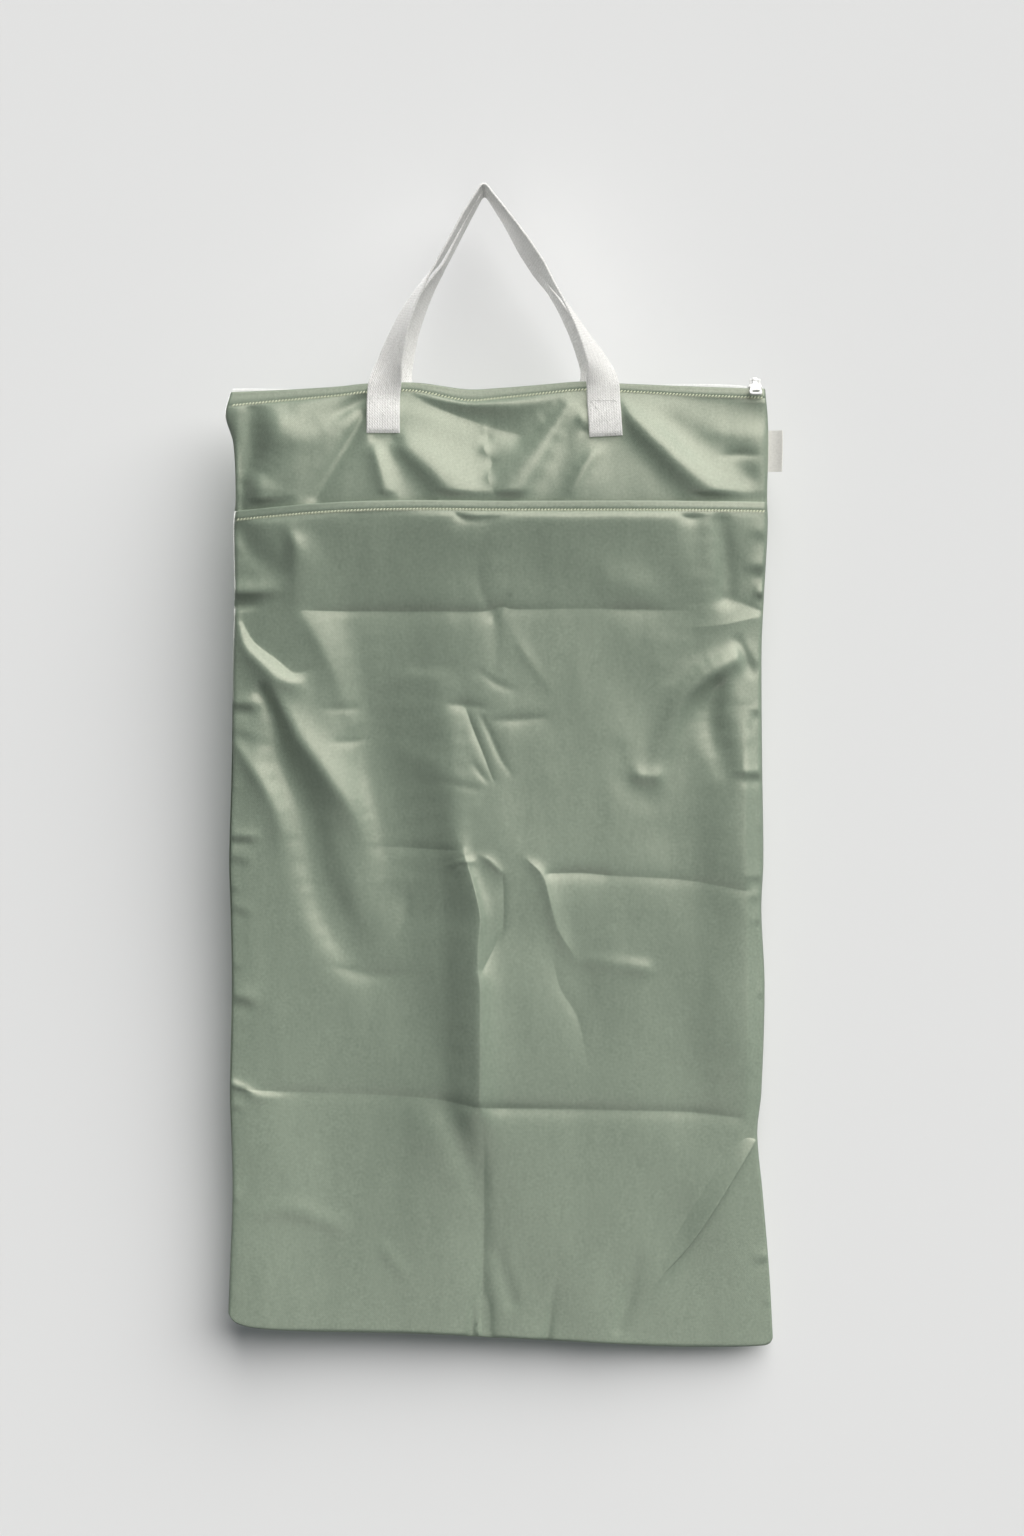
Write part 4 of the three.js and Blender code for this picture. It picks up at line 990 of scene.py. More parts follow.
def seams_for_body():
    return left_seam, right_seam, bottom_edge


def seams_for_pocket():
    return (lambda down: left_seam(down) + pocket_tuck(down)), right_seam, bottom_edge


def seams_for_lining():
    """The front panel draws in below the pocket's mouth, where it lies between the other two."""
    def inset(down):
        return LINING_INSET * ease((down - POCKET_MOUTH[0][1]) / LINING_TURN)

    return (
        lambda down: left_seam(down) + inset(down) + pocket_tuck(down),
        lambda down: right_seam(down) - inset(down),
        lambda x: bottom_edge(x) - LINING_INSET,
    )


# Thread and teeth: one bead, modelled once and copied along a line
def bead_template():
    bpy.ops.object.select_all(action="DESELECT")
    bpy.ops.mesh.primitive_uv_sphere_add(segments=BEAD_SIDES, ring_count=BEAD_RINGS, radius=0.5)
    bead = bpy.context.object
    bpy.ops.object.mode_set(mode="EDIT")
    bpy.ops.mesh.select_all(action="SELECT")
    bpy.ops.transform.rotate(value=math.pi / 2, orient_axis="Y", center_override=(0, 0, 0))
    bpy.ops.object.mode_set(mode="OBJECT")
    points = np.array([vertex.co for vertex in bead.data.vertices])
    faces = [list(face.vertices) for face in bead.data.polygons]
    bpy.data.objects.remove(bead)
    return points, faces


BEAD = bead_template()


def bead_row(places, alongs, outs, long, thick):
    """Vertices and faces of beads at places, each lying along its own direction."""
    points, bead_faces = BEAD
    alongs = alongs / np.linalg.norm(alongs, axis=1, keepdims=True)
    sides = np.cross(outs, alongs)
    sides /= np.linalg.norm(sides, axis=1, keepdims=True)
    ups = np.cross(alongs, sides)
    vertices = places[:, None] + (
        long * points[None, :, :1] * alongs[:, None]
        + thick * points[None, :, 1:2] * sides[:, None]
        + thick * points[None, :, 2:] * ups[:, None]
    )
    faces = [[i + n * len(points) for i in face] for n in range(len(places)) for face in bead_faces]
    return vertices.reshape(-1, 3), faces


def hem_stitches(name, upper, hem_line, depth_of, facing, material):
    """Row of slanted stitches in the groove below a hem."""
    start = float(left_seam(upper(LEFT_SEAM[0][1]))) + STITCH_END
    end = float(right_seam(upper(RIGHT_SEAM[0][1]))) - STITCH_END
    x = np.arange(start, end, STITCH_PITCH)

    def line(at):
        down = upper(at) + hem_line(at)
        return placed(at, down, depth_of(at, down)[0] + STITCH_THICK * STITCH_LIFT, facing)

    run = line(x + 0.5) - line(x - 0.5)
    slant = np.array([0.0, 0.0, math.tan(STITCH_SLANT)])
    outs = np.tile([0.0, facing, 0.0], (len(x), 1))
    vertices, faces = bead_row(line(x), run + slant, outs, STITCH_LONG, STITCH_THICK)
    return new_piece(name, vertices, faces, material, "sage_cloth")


# Zip
def along_zip(u, inset):
    down = TOP_EDGE[0][1]
    return lerp(left_seam(down) + inset, right_seam(down) - inset, u)


def zip_tape(name, node, facing, material):
    """Woven half of the zip, standing inside its hem."""
    u, v = np.meshgrid(np.linspace(0, 1, TAPE_STEPS), TAPE_ROWS)
    x = along_zip(u, TAPE_INSET)
    z = zip_rise(x) - top_edge(x) - v * TAPE_HIGH
    edge = np.sqrt(np.clip(v / TAPE_EDGE, 0, 1))
    middle = COIL_HALF + GAP + TAPE / 2
    outer, inner = (np.stack([x, facing * (middle + side * edge * TAPE / 2), z], -1) for side in (1, -1))
    points = np.concatenate([outer.reshape(-1, 3), inner[::2, ::2].reshape(-1, 3)])
    piece = new_piece(name, points, wall_faces(*x.shape, facing > 0), material, "white_tape")
    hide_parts(node)
    return piece


def zip_coil(material):
    """Two rows of coil teeth that reach past each other between the tapes."""
    length = float(along_zip(1.0, COIL_INSET) - along_zip(0.0, COIL_INSET))
    count = int(length / TOOTH_PITCH)
    parts = []
    for facing, shift in ((-1, 0.0), (1, 0.5)):
        x = along_zip((np.arange(count) + shift) / count, COIL_INSET)
        reach = facing * (COIL_HALF - TOOTH_LONG / 2)
        places = np.stack([x, np.full(count, reach), zip_rise(x) - top_edge(x) - TOOTH_DROP], 1)
        alongs = np.tile([TOOTH_SLANT, 1.0, 0.0], (count, 1))
        outs = np.tile([0.0, 0.0, 1.0], (count, 1))
        parts.append(bead_row(places, alongs, outs, TOOTH_LONG, TOOTH_THICK))
    coil = new_piece("coil_teeth", *merged(parts), material, "white_nylon")
    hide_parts("zip_coil")
    return coil


# Hard pieces, modelled in place
def start_box(name, low, high):
    """Box between two corners in millimetres, left in edit mode with all of it selected."""
    bpy.ops.object.select_all(action="DESELECT")
    bpy.ops.mesh.primitive_cube_add(size=1)
    piece = bpy.context.object
    piece.name = piece.data.name = name
    low, high = Vector(low) * MM, Vector(high) * MM
    bpy.ops.object.mode_set(mode="EDIT")
    bpy.ops.transform.resize(value=high - low)
    bpy.ops.transform.translate(value=(low + high) / 2)
    return piece


def pick_faces(piece, wanted):
    """Selects the faces in edit mode for which wanted(centre, normal) holds, in millimetres."""
    bpy.ops.mesh.select_all(action="DESELECT")
    bpy.ops.object.mode_set(mode="OBJECT")
    for face in piece.data.polygons:
        face.select = bool(wanted(face.center / MM, face.normal))
    bpy.ops.object.mode_set(mode="EDIT")
    bpy.ops.mesh.select_mode(type="FACE")


def pick_points(piece, wanted):
    """Selects the vertices in edit mode for which wanted(place) holds, in millimetres."""
    bpy.ops.mesh.select_mode(type="VERT")
    bpy.ops.mesh.select_all(action="DESELECT")
    bpy.ops.object.mode_set(mode="OBJECT")
    for vertex in piece.data.vertices:
        vertex.select = bool(wanted(vertex.co / MM))
    bpy.ops.object.mode_set(mode="EDIT")


def extrude(x=0.0, z=0.0):
    bpy.ops.mesh.extrude_region_move(TRANSFORM_OT_translate={"value": (x * MM, 0, z * MM)})


def bevel_all(piece, width, segments, angle=30):
    bpy.ops.object.mode_set(mode="OBJECT")
    bevel = piece.modifiers.new("round edges", "BEVEL")
    bevel.width = width * MM
    bevel.segments = segments
    bevel.limit_method = "ANGLE"
    bevel.angle_limit = math.radians(angle)
    bpy.context.view_layer.objects.active = piece
    bpy.ops.object.modifier_apply(modifier=bevel.name)


def joined(name, *pieces):
    bpy.ops.object.select_all(action="DESELECT")
    for piece in pieces:
        piece.select_set(True)
    bpy.context.view_layer.objects.active = pieces[0]
    bpy.ops.object.join()
    whole = bpy.context.object
    whole.name = whole.data.name = name
    bpy.ops.object.shade_smooth_by_angle(angle=SMOOTH_ANGLE)
    return whole


def slider_foot():
    return float(zip_rise(SLIDER_X) - top_edge(SLIDER_X)) + GAP


def slider_body():
    """Crowned plate with flanges over both tapes."""
    foot = slider_foot()
    half_long = SLIDER_LONG / 2
    plate = start_box(
        "slider_plate",
        (SLIDER_X - half_long, -SLIDER_HALF, foot),
        (SLIDER_X + half_long, SLIDER_HALF, foot + SLIDER_HIGH),
    )
    pick_faces(plate, lambda centre, normal: normal.z > SQUARE_ON)
    bpy.ops.transform.resize(value=CROWN_TAPER)
    bpy.ops.mesh.inset(thickness=CROWN_INSET * MM)
    extrude(z=CROWN_HIGH)
    inner = COIL_HALF + 2 * GAP + TAPE
    for side in (-1, 1):
        flange = (SLIDER_HALF - inner) / 2
        bpy.ops.mesh.select_all(action="SELECT")
        cut = (SLIDER_X * MM, side * inner * MM, foot * MM)
        bpy.ops.mesh.bisect(plane_co=cut, plane_no=(0, 1, 0))
        pick_faces(plate, lambda centre, normal: normal.z < -SQUARE_ON and side * centre.y > inner - flange)
        extrude(z=-SLIDER_DROP)
    bevel_all(plate, SLIDER_BEVEL, 3)
    return plate


def slider_bridge():
    """Square wire arch over the plate, drawn from its left foot to its right one."""
    top = slider_foot() + BRIDGE_AXIS
    wire = BRIDGE_WIRE / 2
    foot = slider_foot() + SLIDER_HIGH * BRIDGE_SINK
    left, right = SLIDER_X - BRIDGE_HALF, SLIDER_X + BRIDGE_HALF
    arch = start_box("slider_arch", (left - wire, -wire, foot), (left + wire, wire, top - wire))
    pick_faces(arch, lambda centre, normal: normal.z > SQUARE_ON)
    extrude(z=BRIDGE_WIRE)
    pick_faces(arch, lambda centre, normal: normal.x > SQUARE_ON and centre.z > top - wire)
    extrude(x=2 * BRIDGE_HALF - BRIDGE_WIRE)
    extrude(x=BRIDGE_WIRE)
    pick_faces(arch, lambda centre, normal: normal.z < -SQUARE_ON and centre.x > right - wire)
    extrude(z=foot - top + wire)
    bevel_all(arch, BRIDGE_BEVEL, 4)
    return arch


def slider(material):
    piece = joined("slider", slider_body(), slider_bridge())
    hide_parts("zip_slider")
    return dressed(piece, material)


def pull_plate():
    """Flat tab hanging from the pivot, drawn down its outline from the neck, with a slot near its end."""
    half = PULL_THICK / 2
    (start, neck), *rest = PULL_OUTLINE
    plate = start_box("pull_plate", (-neck, -half, -rest[0][0]), (neck, half, -start))
    for (above, wide), (below, wider) in zip(rest, rest[1:]):
        pick_faces(plate, lambda centre, normal: normal.z < -SQUARE_ON)
        extrude(z=above - below)
        bpy.ops.transform.resize(value=(wider / wide, 1, 1))
    bpy.ops.object.mode_set(mode="OBJECT")
    corners = plate.modifiers.new("corners", "BEVEL")
    corners.width = PULL_CORNER * MM
    corners.segments = 5
    corners.limit_method = "WEIGHT"
    weight = plate.data.attributes.new("bevel_weight_edge", "FLOAT", "EDGE")
    end, half_wide = PULL_OUTLINE[-1]
    for edge in plate.data.edges:
        a, b = (plate.data.vertices[i].co / MM for i in edge.vertices)
        at_side = abs(a.x) > half_wide - CLOSE and abs(a.x - b.x) < CLOSE
        weight.data[edge.index].value = float(at_side and max(a.z, b.z) < CLOSE - end)
    bpy.ops.object.modifier_apply(modifier=corners.name)
    cut_slot(plate)
    bevel_all(plate, PULL_BEVEL, 3, angle=50)
    return plate


def cut_slot(plate):
    """Cuts the oval slot with a round bar whose halves are drawn apart."""
    at, half_wide, radius = PULL_SLOT
    bpy.ops.object.select_all(action="DESELECT")
    bpy.ops.mesh.primitive_cylinder_add(vertices=ROUND_STEPS, radius=radius * MM, depth=SLOT_BAR * MM)
    bar = bpy.context.object
    bpy.ops.object.mode_set(mode="EDIT")
    bpy.ops.transform.rotate(value=math.pi / 2, orient_axis="X", center_override=(0, 0, 0))
    bpy.ops.transform.translate(value=(0, 0, -at * MM))
    apart = (half_wide - radius) * MM
    pick_points(bar, lambda place: place.x < 0)
    bpy.ops.transform.translate(value=(-apart, 0, 0))
    pick_points(bar, lambda place: place.x >= 0)
    bpy.ops.transform.translate(value=(apart, 0, 0))
    bpy.ops.object.mode_set(mode="OBJECT")
    cut = plate.modifiers.new("slot", "BOOLEAN")
    cut.object = bar
    cut.solver = "EXACT"
    bpy.context.view_layer.objects.active = plate
    bpy.ops.object.modifier_apply(modifier=cut.name)
    bpy.data.objects.remove(bar)


def pull_eye():
    """Rolled eye round the bridge: an open tube given a wall."""
    bpy.ops.object.select_all(action="DESELECT")
    bpy.ops.mesh.primitive_cylinder_add(
        vertices=ROUND_STEPS, radius=EYE_RADIUS * MM, depth=EYE_LONG * MM, end_fill_type="NOTHING",
        rotation=(0, math.pi / 2, 0),
    )
    eye = bpy.context.object
    bpy.ops.object.transform_apply(location=True, rotation=True, scale=True)
    wall = eye.modifiers.new("wall", "SOLIDIFY")
    wall.thickness = EYE_WALL * MM
    wall.offset = 0
    bpy.ops.object.modifier_apply(modifier=wall.name)
    bevel_all(eye, EYE_BEVEL, 2, angle=50)
    return eye


def pull(material):
    piece = joined("pull_tab", pull_plate(), pull_eye())
    (hinge,) = frame["joints"]
    piece.location = hinge["pos_m"]
    piece.rotation_euler = (-PULL_LEAN, 0, 0)
    bpy.ops.object.transform_apply(location=True, rotation=True, scale=True)
    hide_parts("zip_pull")
    return dressed(piece, material, "pull")


# Webbing
def sewn_depth(row, facing):
    edges = row.x + np.array([-1, 0, 1]) * WEB_WIDE / 2
    return float(np.max(smooth_depth(edges, np.full(3, float(row.down)), facing))) + GAP + WEB_THICK


def strap_place(row, facing):
    out = sewn_depth(row, facing) - facing * swing(row.x, row.down) if row.sewn else row.out
    return row.x, facing * out, -row.down


def strap_stations(facing):
    """Places, turns and half thicknesses along a handle, at even steps."""
    rows = strap_rows(facing)
    places = np.array([strap_place(row, facing) for row in rows])
    turns = np.radians([row.turn for row in rows])
    halves = np.array([WEB_THICK if row.sewn else WEB_THICK / 2 for row in rows])
    knots = np.concatenate([[0], np.cumsum(np.linalg.norm(np.diff(places, axis=0), axis=1))])
    at = np.linspace(0, knots[-1], int(knots[-1] / WEB_STEP))
    smooth = [table_curve(list(zip(knots, places[:, k])))(at) for k in range(3)]
    return np.stack(smooth, 1), np.interp(at, knots, turns), np.interp(at, knots, halves), at


def strap_section():
    """Section of the webbing: (across, share of half thickness, rib height) round the strap."""
    count = WEB_RIBS * WEB_RIB_STEPS
    across = np.linspace(-0.5, 0.5, count + 1) * WEB_WIDE
    rib = WEB_RIB_HIGH * np.abs(np.sin(math.pi * WEB_RIBS * (across / WEB_WIDE + 0.5))) ** WEB_RIB_POWER
    edge = np.sqrt(np.clip((WEB_WIDE / 2 - np.abs(across)) / WEB_EDGE, WEB_EDGE_LEAST, 1))
    upper = np.stack([across, edge, rib], 1)
    lower = upper[::-1] * np.array([1, -1, -1])
    return np.concatenate([upper, lower]), len(upper)


def handle(name, node, facing, material):
    """Ribbed webbing strap, two layers thick where it is sewn down."""
    places, turns, halves, at = strap_stations(facing)
    run = np.gradient(places, axis=0)
    run /= np.linalg.norm(run, axis=1, keepdims=True)
    flat = np.stack([run[:, 2], np.zeros(len(run)), -run[:, 0]], 1)
    flat /= np.linalg.norm(flat, axis=1, keepdims=True)
    edge_on = np.array([0.0, facing, 0.0])
    across = flat * np.cos(turns)[:, None] + edge_on * np.sin(turns)[:, None]
    normal = np.cross(across, run)
    normal /= np.linalg.norm(normal, axis=1, keepdims=True)
    section, wide = strap_section()
    to_end = np.minimum(at, at[-1] - at)
    nose = np.sqrt(np.clip(1 - (1 - np.clip(to_end / WEB_THICK, 0.03, 1)) ** 2, 0, 1))
    high = section[None, :, 1] * (halves * nose)[:, None] + section[None, :, 2] * nose[:, None]
    points = places[:, None] + section[None, :, :1] * across[:, None] + high[..., None] * normal[:, None]
    rows, ring = points.shape[:2]
    index, quads = ring_faces(rows, ring)
    caps = []
    for row, turned in ((index[0], True), (index[-1], False)):
        top, low = row[:wide], row[wide:][::-1]
        cap = np.stack([top[:-1], low[:-1], low[1:], top[1:]], 1)
        caps.append(cap if turned else cap[:, ::-1])
    faces = np.concatenate([quads, *caps])[:, ::-1].tolist()
    piece = new_piece(name, points.reshape(-1, 3), faces, material, "white_webbing")
    uv = piece.data.uv_layers.new(name="strap")
    around = np.tile(section[:, 0], rows)
    along = np.repeat(at, ring)
    loops = np.array([loop.vertex_index for loop in piece.data.loops])
    uv.data.foreach_set("uv", (np.stack([around[loops], along[loops]], 1) * MM).ravel())
    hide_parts(node)
    return piece


def box_stitches(name, facing, material):
    """Box and cross of stitches on both sewn ends of a handle."""
    rows = [row for row in strap_rows(facing) if row.sewn]
    parts = []
    for end in (rows[:3], rows[3:]):
        x = end[0].x
        top, low = min(row.down for row in end), max(row.down for row in end) - BOX_STITCH_INSET
        half = WEB_WIDE / 2 - BOX_STITCH_INSET
        corners = [(-half, top), (half, top), (half, low), (-half, low), (-half, top)]
        lines = list(zip(corners, corners[1:])) + [((-half, top), (half, low)), ((half, top), (-half, low))]
        levels = sorted((row.down, sewn_depth(row, facing)) for row in end)
        for (x0, d0), (x1, d1) in lines:
            count = int(math.hypot(x1 - x0, d1 - d0) / BOX_STITCH_PITCH)
            t = (np.arange(count) + 0.5) / count
            down = lerp(d0, d1, t)
            depth = np.interp(down, *zip(*levels)) + WEB_THICK + WEB_RIB_HIGH * BOX_STITCH_LIFT
            places = placed(x + lerp(x0, x1, t), down, depth, facing)
            alongs = np.tile([x1 - x0, 0.0, d0 - d1], (count, 1))
            outs = np.tile([0.0, facing, 0.0], (count, 1))
            parts.append(bead_row(places, alongs, outs, BOX_STITCH_LONG, BOX_STITCH_THICK))
    return new_piece(name, *merged(parts), material, "white_webbing")


# Label
def label(material):
    """Ribbon folded at its outer edge, both ends caught in the side seam."""
    bend = np.linspace(-math.pi / 2, math.pi / 2, LABEL_BEND_STEPS)
    flat = np.linspace(-LABEL_CAUGHT, LABEL_WIDE - LABEL_HALF, LABEL_FLAT_STEPS)

    def loop(radius):
        arc = np.stack([flat[-1] + radius * np.cos(bend), radius * np.sin(bend)], 1)
        front = np.stack([flat[:-1], np.full(len(flat) - 1, -radius)], 1)
        return np.concatenate([front, arc, front[::-1] * [1, -1]])

    ring = np.concatenate([loop(LABEL_HALF), loop(LABEL_HALF - LABEL_RIBBON)[::-1]])
    down = np.linspace(LABEL_TOP, LABEL_TOP + LABEL_HIGH, LABEL_ROWS)
    seam = right_seam(down) + GAP
    share = np.clip(ring[:, 0] / LABEL_WIDE, 0, 1)
    wave = LABEL_WAVE * np.sin((down - LABEL_TOP) / LABEL_HIGH * LABEL_WAVE_TURN + LABEL_WAVE_START)
    points = np.stack([
        seam[:, None] + ring[None, :, 0],
        ring[None, :, 1] - (LABEL_CURL + wave[:, None]) * share[None] ** 2 - right_swing(down)[:, None],
        np.repeat(-down[:, None], len(ring), 1),
    ], -1)
    index, quads = ring_faces(len(down), len(ring))
    faces = quads[:, ::-1].tolist()
    half_ring = len(ring) // 2
    for row, flip in ((index[0], False), (index[-1], True)):
        outer, inner = row[:half_ring], row[half_ring:][::-1]
        cap = np.stack([outer[:-1], outer[1:], inner[1:], inner[:-1]], 1)
        faces += (cap[:, ::-1] if flip else cap).tolist()
    piece = new_piece("ribbon_label", points.reshape(-1, 3), faces, material, "label_ribbon")
    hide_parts("side_label")
    return piece


# Materials
GRAIN_SCALE = 800.0
GRAIN_WEIGHT = 1.7
BLOTCH_SCALE = 9.0
BLOTCH_WEIGHT = 0.7
MOULD_GRAIN_SCALE = 700.0
MOULD_ROUGH_SPREAD = 0.2
MOULD_BUMP = (0.1, 0.0001)


def node_group(name, inputs, outputs):
    group = bpy.data.node_groups.new(name, "ShaderNodeTree")
    for label_text, default in inputs:
        socket = group.interface.new_socket(label_text, in_out="INPUT", socket_type="NodeSocketFloat")
        socket.default_value = default
    for label_text in outputs:
        group.interface.new_socket(label_text, in_out="OUTPUT", socket_type="NodeSocketFloat")
    return group, group.nodes.new("NodeGroupInput"), group.nodes.new("NodeGroupOutput")


def new_material(name):
    """(material, its node tree, its shader)."""
    material = bpy.data.materials.new(name)
    material.use_nodes = True
    return material, material.node_tree, material.node_tree.nodes["Principled BSDF"]


def noise(tree, vector, scale, detail):
    node = tree.nodes.new("ShaderNodeTexNoise")
    node.inputs["Scale"].default_value = scale
    node.inputs["Detail"].default_value = detail
    tree.links.new(vector, node.inputs["Vector"])
    return node.outputs["Fac"]


def colour_between(tree, dark, light, share):
    mix = tree.nodes.new("ShaderNodeMix")
    mix.data_type = "RGBA"
    mix.inputs["A"].default_value = (*dark, 1)
    mix.inputs["B"].default_value = (*light, 1)
    tree.links.new(share, mix.inputs["Factor"])
    return mix.outputs["Result"]


def bumped(tree, height, strength, distance):
    relief = tree.nodes.new("ShaderNodeBump")
    relief.inputs["Strength"].default_value = strength
    relief.inputs["Distance"].default_value = distance
    tree.links.new(height, relief.inputs["Height"])
    return relief.outputs["Normal"]


def math_node(tree, operation, a, b=None, c=None):
    """Math node whose inputs are sockets or plain numbers. Returns its output."""
    node = tree.nodes.new("ShaderNodeMath")
    node.operation = operation
    for socket, value in zip(node.inputs, (a, b, c)):
        if isinstance(value, bpy.types.NodeSocket):
            tree.links.new(value, socket)
        elif value is not None:
            socket.default_value = value
    return node.outputs[0]


def weave_group():
    """Plain weave: two sets of threads that cross over and under, with uneven yarn."""
    group, inputs, outputs = node_group(
        "woven threads",
        [
            ("Across", 0.0), ("Along", 0.0), ("Threads across", 1000.0), ("Threads along", 1000.0),
            ("Slub", 0.3),
        ],
        ["Height", "Tone"],
    )
    turn = math.pi
    warp = math_node(group, "MULTIPLY", inputs.outputs["Across"], inputs.outputs["Threads across"])
    weft = math_node(group, "MULTIPLY", inputs.outputs["Along"], inputs.outputs["Threads along"])
    warp_wave = math_node(group, "SINE", math_node(group, "MULTIPLY", warp, turn))
    weft_wave = math_node(group, "SINE", math_node(group, "MULTIPLY", weft, turn))
    cross = math_node(group, "MULTIPLY_ADD", math_node(group, "MULTIPLY", warp_wave, weft_wave), 0.5, 0.5)
    yarn = group.nodes.new("ShaderNodeCombineXYZ")
    group.links.new(math_node(group, "MULTIPLY", warp, 0.35), yarn.inputs["X"])
    group.links.new(math_node(group, "MULTIPLY", weft, 0.05), yarn.inputs["Y"])
    slub = math_node(group, "SUBTRACT", noise(group, yarn.outputs[0], 1.0, 3.0), 0.5)
    uneven = math_node(group, "MULTIPLY", slub, inputs.outputs["Slub"])
    group.links.new(math_node(group, "ADD", cross, uneven), outputs.inputs["Height"])
    yarn_tone = math_node(group, "MULTIPLY_ADD", uneven, 1.4, 0.32)
    group.links.new(math_node(group, "MULTIPLY_ADD", cross, 0.35, yarn_tone), outputs.inputs["Tone"])
    return group


WEAVE = weave_group()


def cloth_material(name, dark, light, threads, bump, surface, source="Object", slub=0.3):
    """Woven surface: the weave drives colour, roughness and bump. surface holds constant shader values."""
    material, tree, shader = new_material(name)
    coords = tree.nodes.new("ShaderNodeTexCoord")
    split = tree.nodes.new("ShaderNodeSeparateXYZ")
    tree.links.new(coords.outputs[source], split.inputs[0])
    weave = tree.nodes.new("ShaderNodeGroup")
    weave.node_tree = WEAVE
    tree.links.new(split.outputs["X"], weave.inputs["Across"])
    tree.links.new(split.outputs["Y" if source == "UV" else "Z"], weave.inputs["Along"])
    weave.inputs["Threads across"].default_value = threads[0]
    weave.inputs["Threads along"].default_value = threads[1]
    weave.inputs["Slub"].default_value = slub
    blotch = noise(tree, coords.outputs["Object"], BLOTCH_SCALE, 4.0)
    grain = noise(tree, coords.outputs["Object"], GRAIN_SCALE, 2.0)
    patchy = math_node(tree, "MULTIPLY_ADD", blotch, BLOTCH_WEIGHT, weave.outputs["Tone"])
    uneven = math_node(tree, "MULTIPLY_ADD", grain, GRAIN_WEIGHT, patchy)
    share = math_node(tree, "SUBTRACT", uneven, (BLOTCH_WEIGHT + GRAIN_WEIGHT) / 2)
    tree.links.new(colour_between(tree, dark, light, share), shader.inputs["Base Color"])
    rough, spread = surface["Roughness"]
    roughness = math_node(tree, "MULTIPLY_ADD", weave.outputs["Height"], -spread, rough + spread / 2)
    tree.links.new(roughness, shader.inputs["Roughness"])
    tree.links.new(bumped(tree, weave.outputs["Height"], *bump), shader.inputs["Normal"])
    for socket, value in surface.items():
        if socket != "Roughness":
            shader.inputs[socket].default_value = value
    return material


def sage_cloth():
    return cloth_material(
        "sage coated cloth", (0.153, 0.196, 0.152), (0.245, 0.3, 0.234), (1250, 1250), (0.3, 0.00014),
        {
            "Roughness": (0.4, 0.1), "Specular IOR Level": 1.0, "Specular Tint": (1.0, 0.93, 0.8, 1.0),
            "Sheen Weight": 0.08, "Sheen Roughness": 0.4,
        },
    )


def white_webbing():
    return cloth_material(
        "white webbing", (0.47, 0.468, 0.46), (0.69, 0.688, 0.678), (1040, 960), (0.6, 0.0004),
        {
            "Roughness": (0.62, 0.12), "Specular IOR Level": 0.4, "Sheen Weight": 0.1,
            "Subsurface Weight": 0.45, "Subsurface Radius": (1.0, 1.0, 1.0), "Subsurface Scale": 0.003,
        },
        source="UV",
    )


def white_tape():
    return cloth_material(
        "white zip tape", (0.68, 0.685, 0.685), (0.86, 0.865, 0.865), (1800, 1800), (0.4, 0.0002),
        {"Roughness": (0.7, 0.1), "Specular IOR Level": 0.3},
    )


def label_ribbon():
    return cloth_material(
        "ribbon", (0.62, 0.61, 0.575), (0.74, 0.73, 0.69), (1400, 2600), (0.35, 0.00015),
        {"Roughness": (0.5, 0.1), "Specular IOR Level": 0.45, "Sheen Weight": 0.15},
    )


def thread_material(name, dark, light):
    return cloth_material(
        name, dark, light, (2400, 3600), (0.6, 0.0002),
        {"Roughness": (0.55, 0.1), "Specular IOR Level": 0.4}, slub=0.6,
    )


def moulded_material(name, dark, light, rough, coat):
    """White enamel or nylon: a faint unevenness in colour and gloss."""
    material, tree, shader = new_material(name)
    coords = tree.nodes.new("ShaderNodeTexCoord")
    grain = noise(tree, coords.outputs["Object"], MOULD_GRAIN_SCALE, 4.0)
    tree.links.new(colour_between(tree, dark, light, grain), shader.inputs["Base Color"])
    roughness = math_node(tree, "MULTIPLY_ADD", grain, MOULD_ROUGH_SPREAD, rough - MOULD_ROUGH_SPREAD / 2)
    tree.links.new(roughness, shader.inputs["Roughness"])
    tree.links.new(bumped(tree, grain, *MOULD_BUMP), shader.inputs["Normal"])
    shader.inputs["Coat Weight"].default_value = coat
    return material


# Stage
def stage_plane(name, corners, colour, seen_through):
    mesh = bpy.data.meshes.new(name)
    mesh.from_pydata(corners, [], [range(len(corners))])
    plane = bpy.data.objects.new(name, mesh)
    bpy.context.collection.objects.link(plane)
    material, tree, shader = new_material(name)
    shader.inputs["Base Color"].default_value = (*colour, 1)
    shader.inputs["Roughness"].default_value = 0.9
    shader.inputs["Specular IOR Level"].default_value = 0.1
    if seen_through:
        geometry = tree.nodes.new("ShaderNodeNewGeometry")
        clear = tree.nodes.new("ShaderNodeBsdfTransparent")
        mix = tree.nodes.new("ShaderNodeMixShader")
        tree.links.new(geometry.outputs["Backfacing"], mix.inputs[0])
        tree.links.new(shader.outputs[0], mix.inputs[1])
        tree.links.new(clear.outputs[0], mix.inputs[2])
        tree.links.new(mix.outputs[0], tree.nodes["Material Output"].inputs["Surface"])
    plane.visible_shadow = False
    plane.visible_diffuse = seen_through
    plane.visible_glossy = False
    mesh.materials.append(material)


def stage():
    """Pale floor, and a pale backdrop that can be looked through from behind."""
    side = STAGE_HALF

    def on_wall(x, z):
        return x, WALL_BEHIND + WALL_TURN * x + WALL_LEAN * z, z

    wall = [(-side, FLOOR_LEVEL), (side, FLOOR_LEVEL), (side, side), (-side, side)]
    ground = [(-side, -side), (side, -side), (side, side), (-side, side)]
    stage_plane("backdrop", [on_wall(x, z) for x, z in wall], WALL_COLOUR, True)
    stage_plane("floor", [(x, y, FLOOR_LEVEL) for x, y in ground], FLOOR_COLOUR, False)


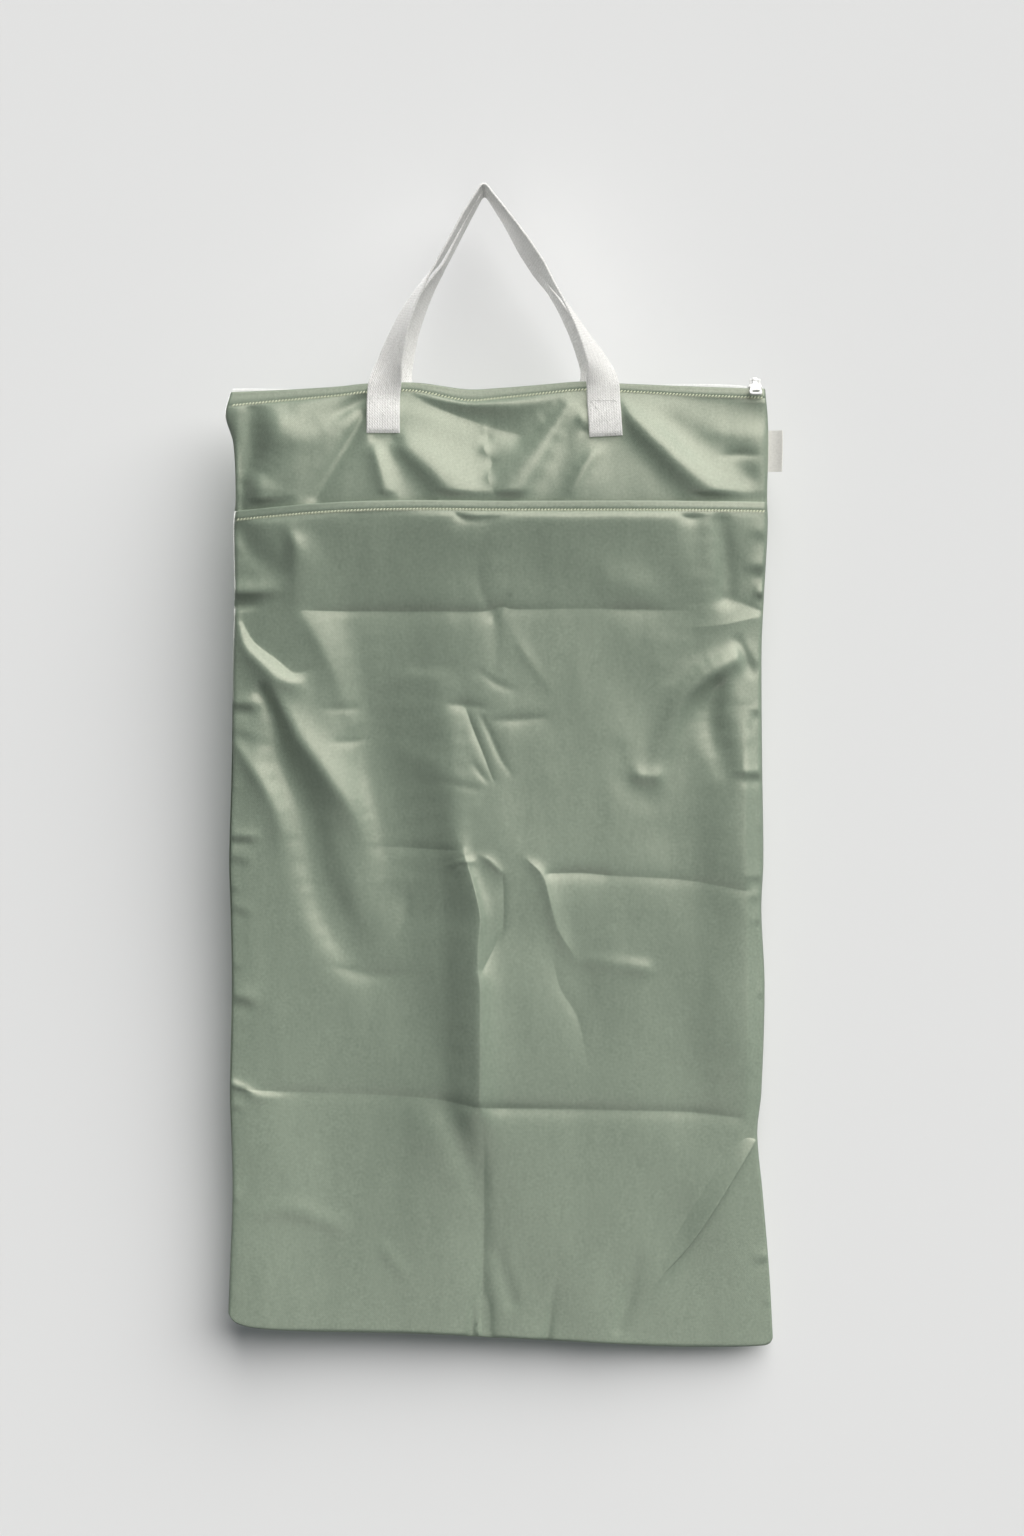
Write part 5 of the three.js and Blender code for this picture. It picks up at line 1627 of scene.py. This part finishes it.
def area_light(name, place, aim, size, power):
    light = bpy.data.lights.new(name, "AREA")
    light.shape = "RECTANGLE"
    light.size, light.size_y = size
    light.energy = power
    lamp = bpy.data.objects.new(name, light)
    lamp.location = place
    lamp.rotation_euler = (Vector(aim) - Vector(place)).to_track_quat("-Z", "Y").to_euler()
    bpy.context.collection.objects.link(lamp)
    return lamp


def sun(name, power, height, turn):
    light = bpy.data.lights.new(name, "SUN")
    light.energy = power
    light.angle = KEY_SOFTNESS
    light.color = KEY_COLOUR
    lamp = bpy.data.objects.new(name, light)
    lamp.rotation_euler = (math.pi / 2 - height, 0, turn)
    bpy.context.collection.objects.link(lamp)
    return lamp


def gathered_in(name, pieces):
    group = bpy.data.collections.new(name)
    for piece in pieces:
        group.objects.link(piece)
    return group


def lights():
    handles = [bpy.data.objects[name] for name in ("front_handle", "back_handle")]
    others = [piece for piece in bpy.context.scene.objects if piece.type == "MESH" and piece not in handles]
    cloths = [bpy.data.objects[name] for name in CLOTH_PIECES]
    sun("key", KEY_POWER * KEY_SHARE, KEY_HEIGHT, KEY_TURN)
    eased = sun("key past the handles", KEY_POWER * (1 - KEY_SHARE), KEY_HEIGHT, KEY_TURN)
    eased.light_linking.blocker_collection = gathered_in("key blockers", others)
    fill = sun("strap fill", STRAP_FILL_POWER, STRAP_FILL_HEIGHT, STRAP_FILL_TURN)
    fill.light_linking.receiver_collection = gathered_in("strap fill receivers", handles)
    fill.light_linking.blocker_collection = gathered_in("strap fill blockers", others)
    low = area_light("low fill", LOW_FILL_PLACE, LOW_FILL_AIM, LOW_FILL_SIZE, LOW_FILL_POWER)
    low.light_linking.receiver_collection = gathered_in("low fill receivers", cloths)
    area_light("back fill", BACK_FILL_PLACE, BACK_FILL_AIM, BACK_FILL_SIZE, BACK_FILL_POWER)
    world = bpy.data.worlds.new("studio")
    world.use_nodes = True
    world.node_tree.nodes["Background"].inputs["Color"].default_value = (*WORLD_COLOUR, 1)
    world.node_tree.nodes["Background"].inputs["Strength"].default_value = WORLD_POWER
    bpy.context.scene.world = world
    bpy.context.scene.view_settings.view_transform = "Standard"


def camera():
    lens = bpy.data.cameras.new("camera")
    lens.sensor_width = CAMERA_SENSOR
    lens.lens = CAMERA_SENSOR / 2 / math.tan(CAMERA_HALF_ANGLE)
    view = bpy.data.objects.new("camera", lens)
    view.location = CAMERA_PLACE
    view.rotation_euler = (math.pi / 2, 0, 0)
    bpy.context.collection.objects.link(view)
    bpy.context.scene.camera = view


def build():
    cloth = sage_cloth()
    webbing = white_webbing()
    tape = white_tape()
    enamel = moulded_material("white enamel", (0.8, 0.8, 0.79), (0.88, 0.88, 0.87), 0.3, 0.3)
    nylon = moulded_material("white nylon", (0.78, 0.78, 0.78), (0.86, 0.86, 0.86), 0.42, 0.0)
    sage_thread = thread_material("sage thread", (0.6, 0.64, 0.46), (0.82, 0.84, 0.66))
    white_thread = thread_material("white thread", (0.7, 0.7, 0.68), (0.88, 0.88, 0.86))

    front = panel(
        "front_cloth", (ACROSS, FRONT_ROWS), seams_for_lining(), top_edge, front_faces, FRONT_FOLDS,
        -1, cloth,
    )
    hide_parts("front_panel")
    back = panel(
        "back_cloth", (ACROSS_BACK, BACK_ROWS), seams_for_body(), top_edge, back_faces, BACK_FOLDS,
        1, cloth,
    )
    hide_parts("back_panel")
    pocket = panel(
        "pocket_cloth", (ACROSS, POCKET_ROWS), seams_for_pocket(), pocket_mouth, pocket_faces, POCKET_FOLDS,
        -1, cloth,
    )
    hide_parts("pocket_panel")
    front_line = hem_stitches("front_hem_stitches", top_edge, front_hem_line, front_faces, -1, sage_thread)
    back_line = hem_stitches("back_hem_stitches", top_edge, front_hem_line, back_faces, 1, sage_thread)
    overlap = overlap_edge(cloth)
    pocket_line = hem_stitches(
        "pocket_hem_stitches", pocket_mouth, pocket_hem_line, pocket_faces, -1, sage_thread,
    )

    zip_tape("front_tape", "zip_tape_front", -1, tape)
    zip_tape("back_tape", "zip_tape_back", 1, tape)
    zip_coil(nylon)
    slider(enamel)
    pull(enamel)

    handle("front_handle", "handle_front", -1, webbing)
    handle("back_handle", "handle_back", 1, webbing)
    box_stitches("front_box_stitches", -1, white_thread)
    box_stitches("back_box_stitches", 1, white_thread)
    ribbon = label(label_ribbon())


camera()
stage()
build()
lights()
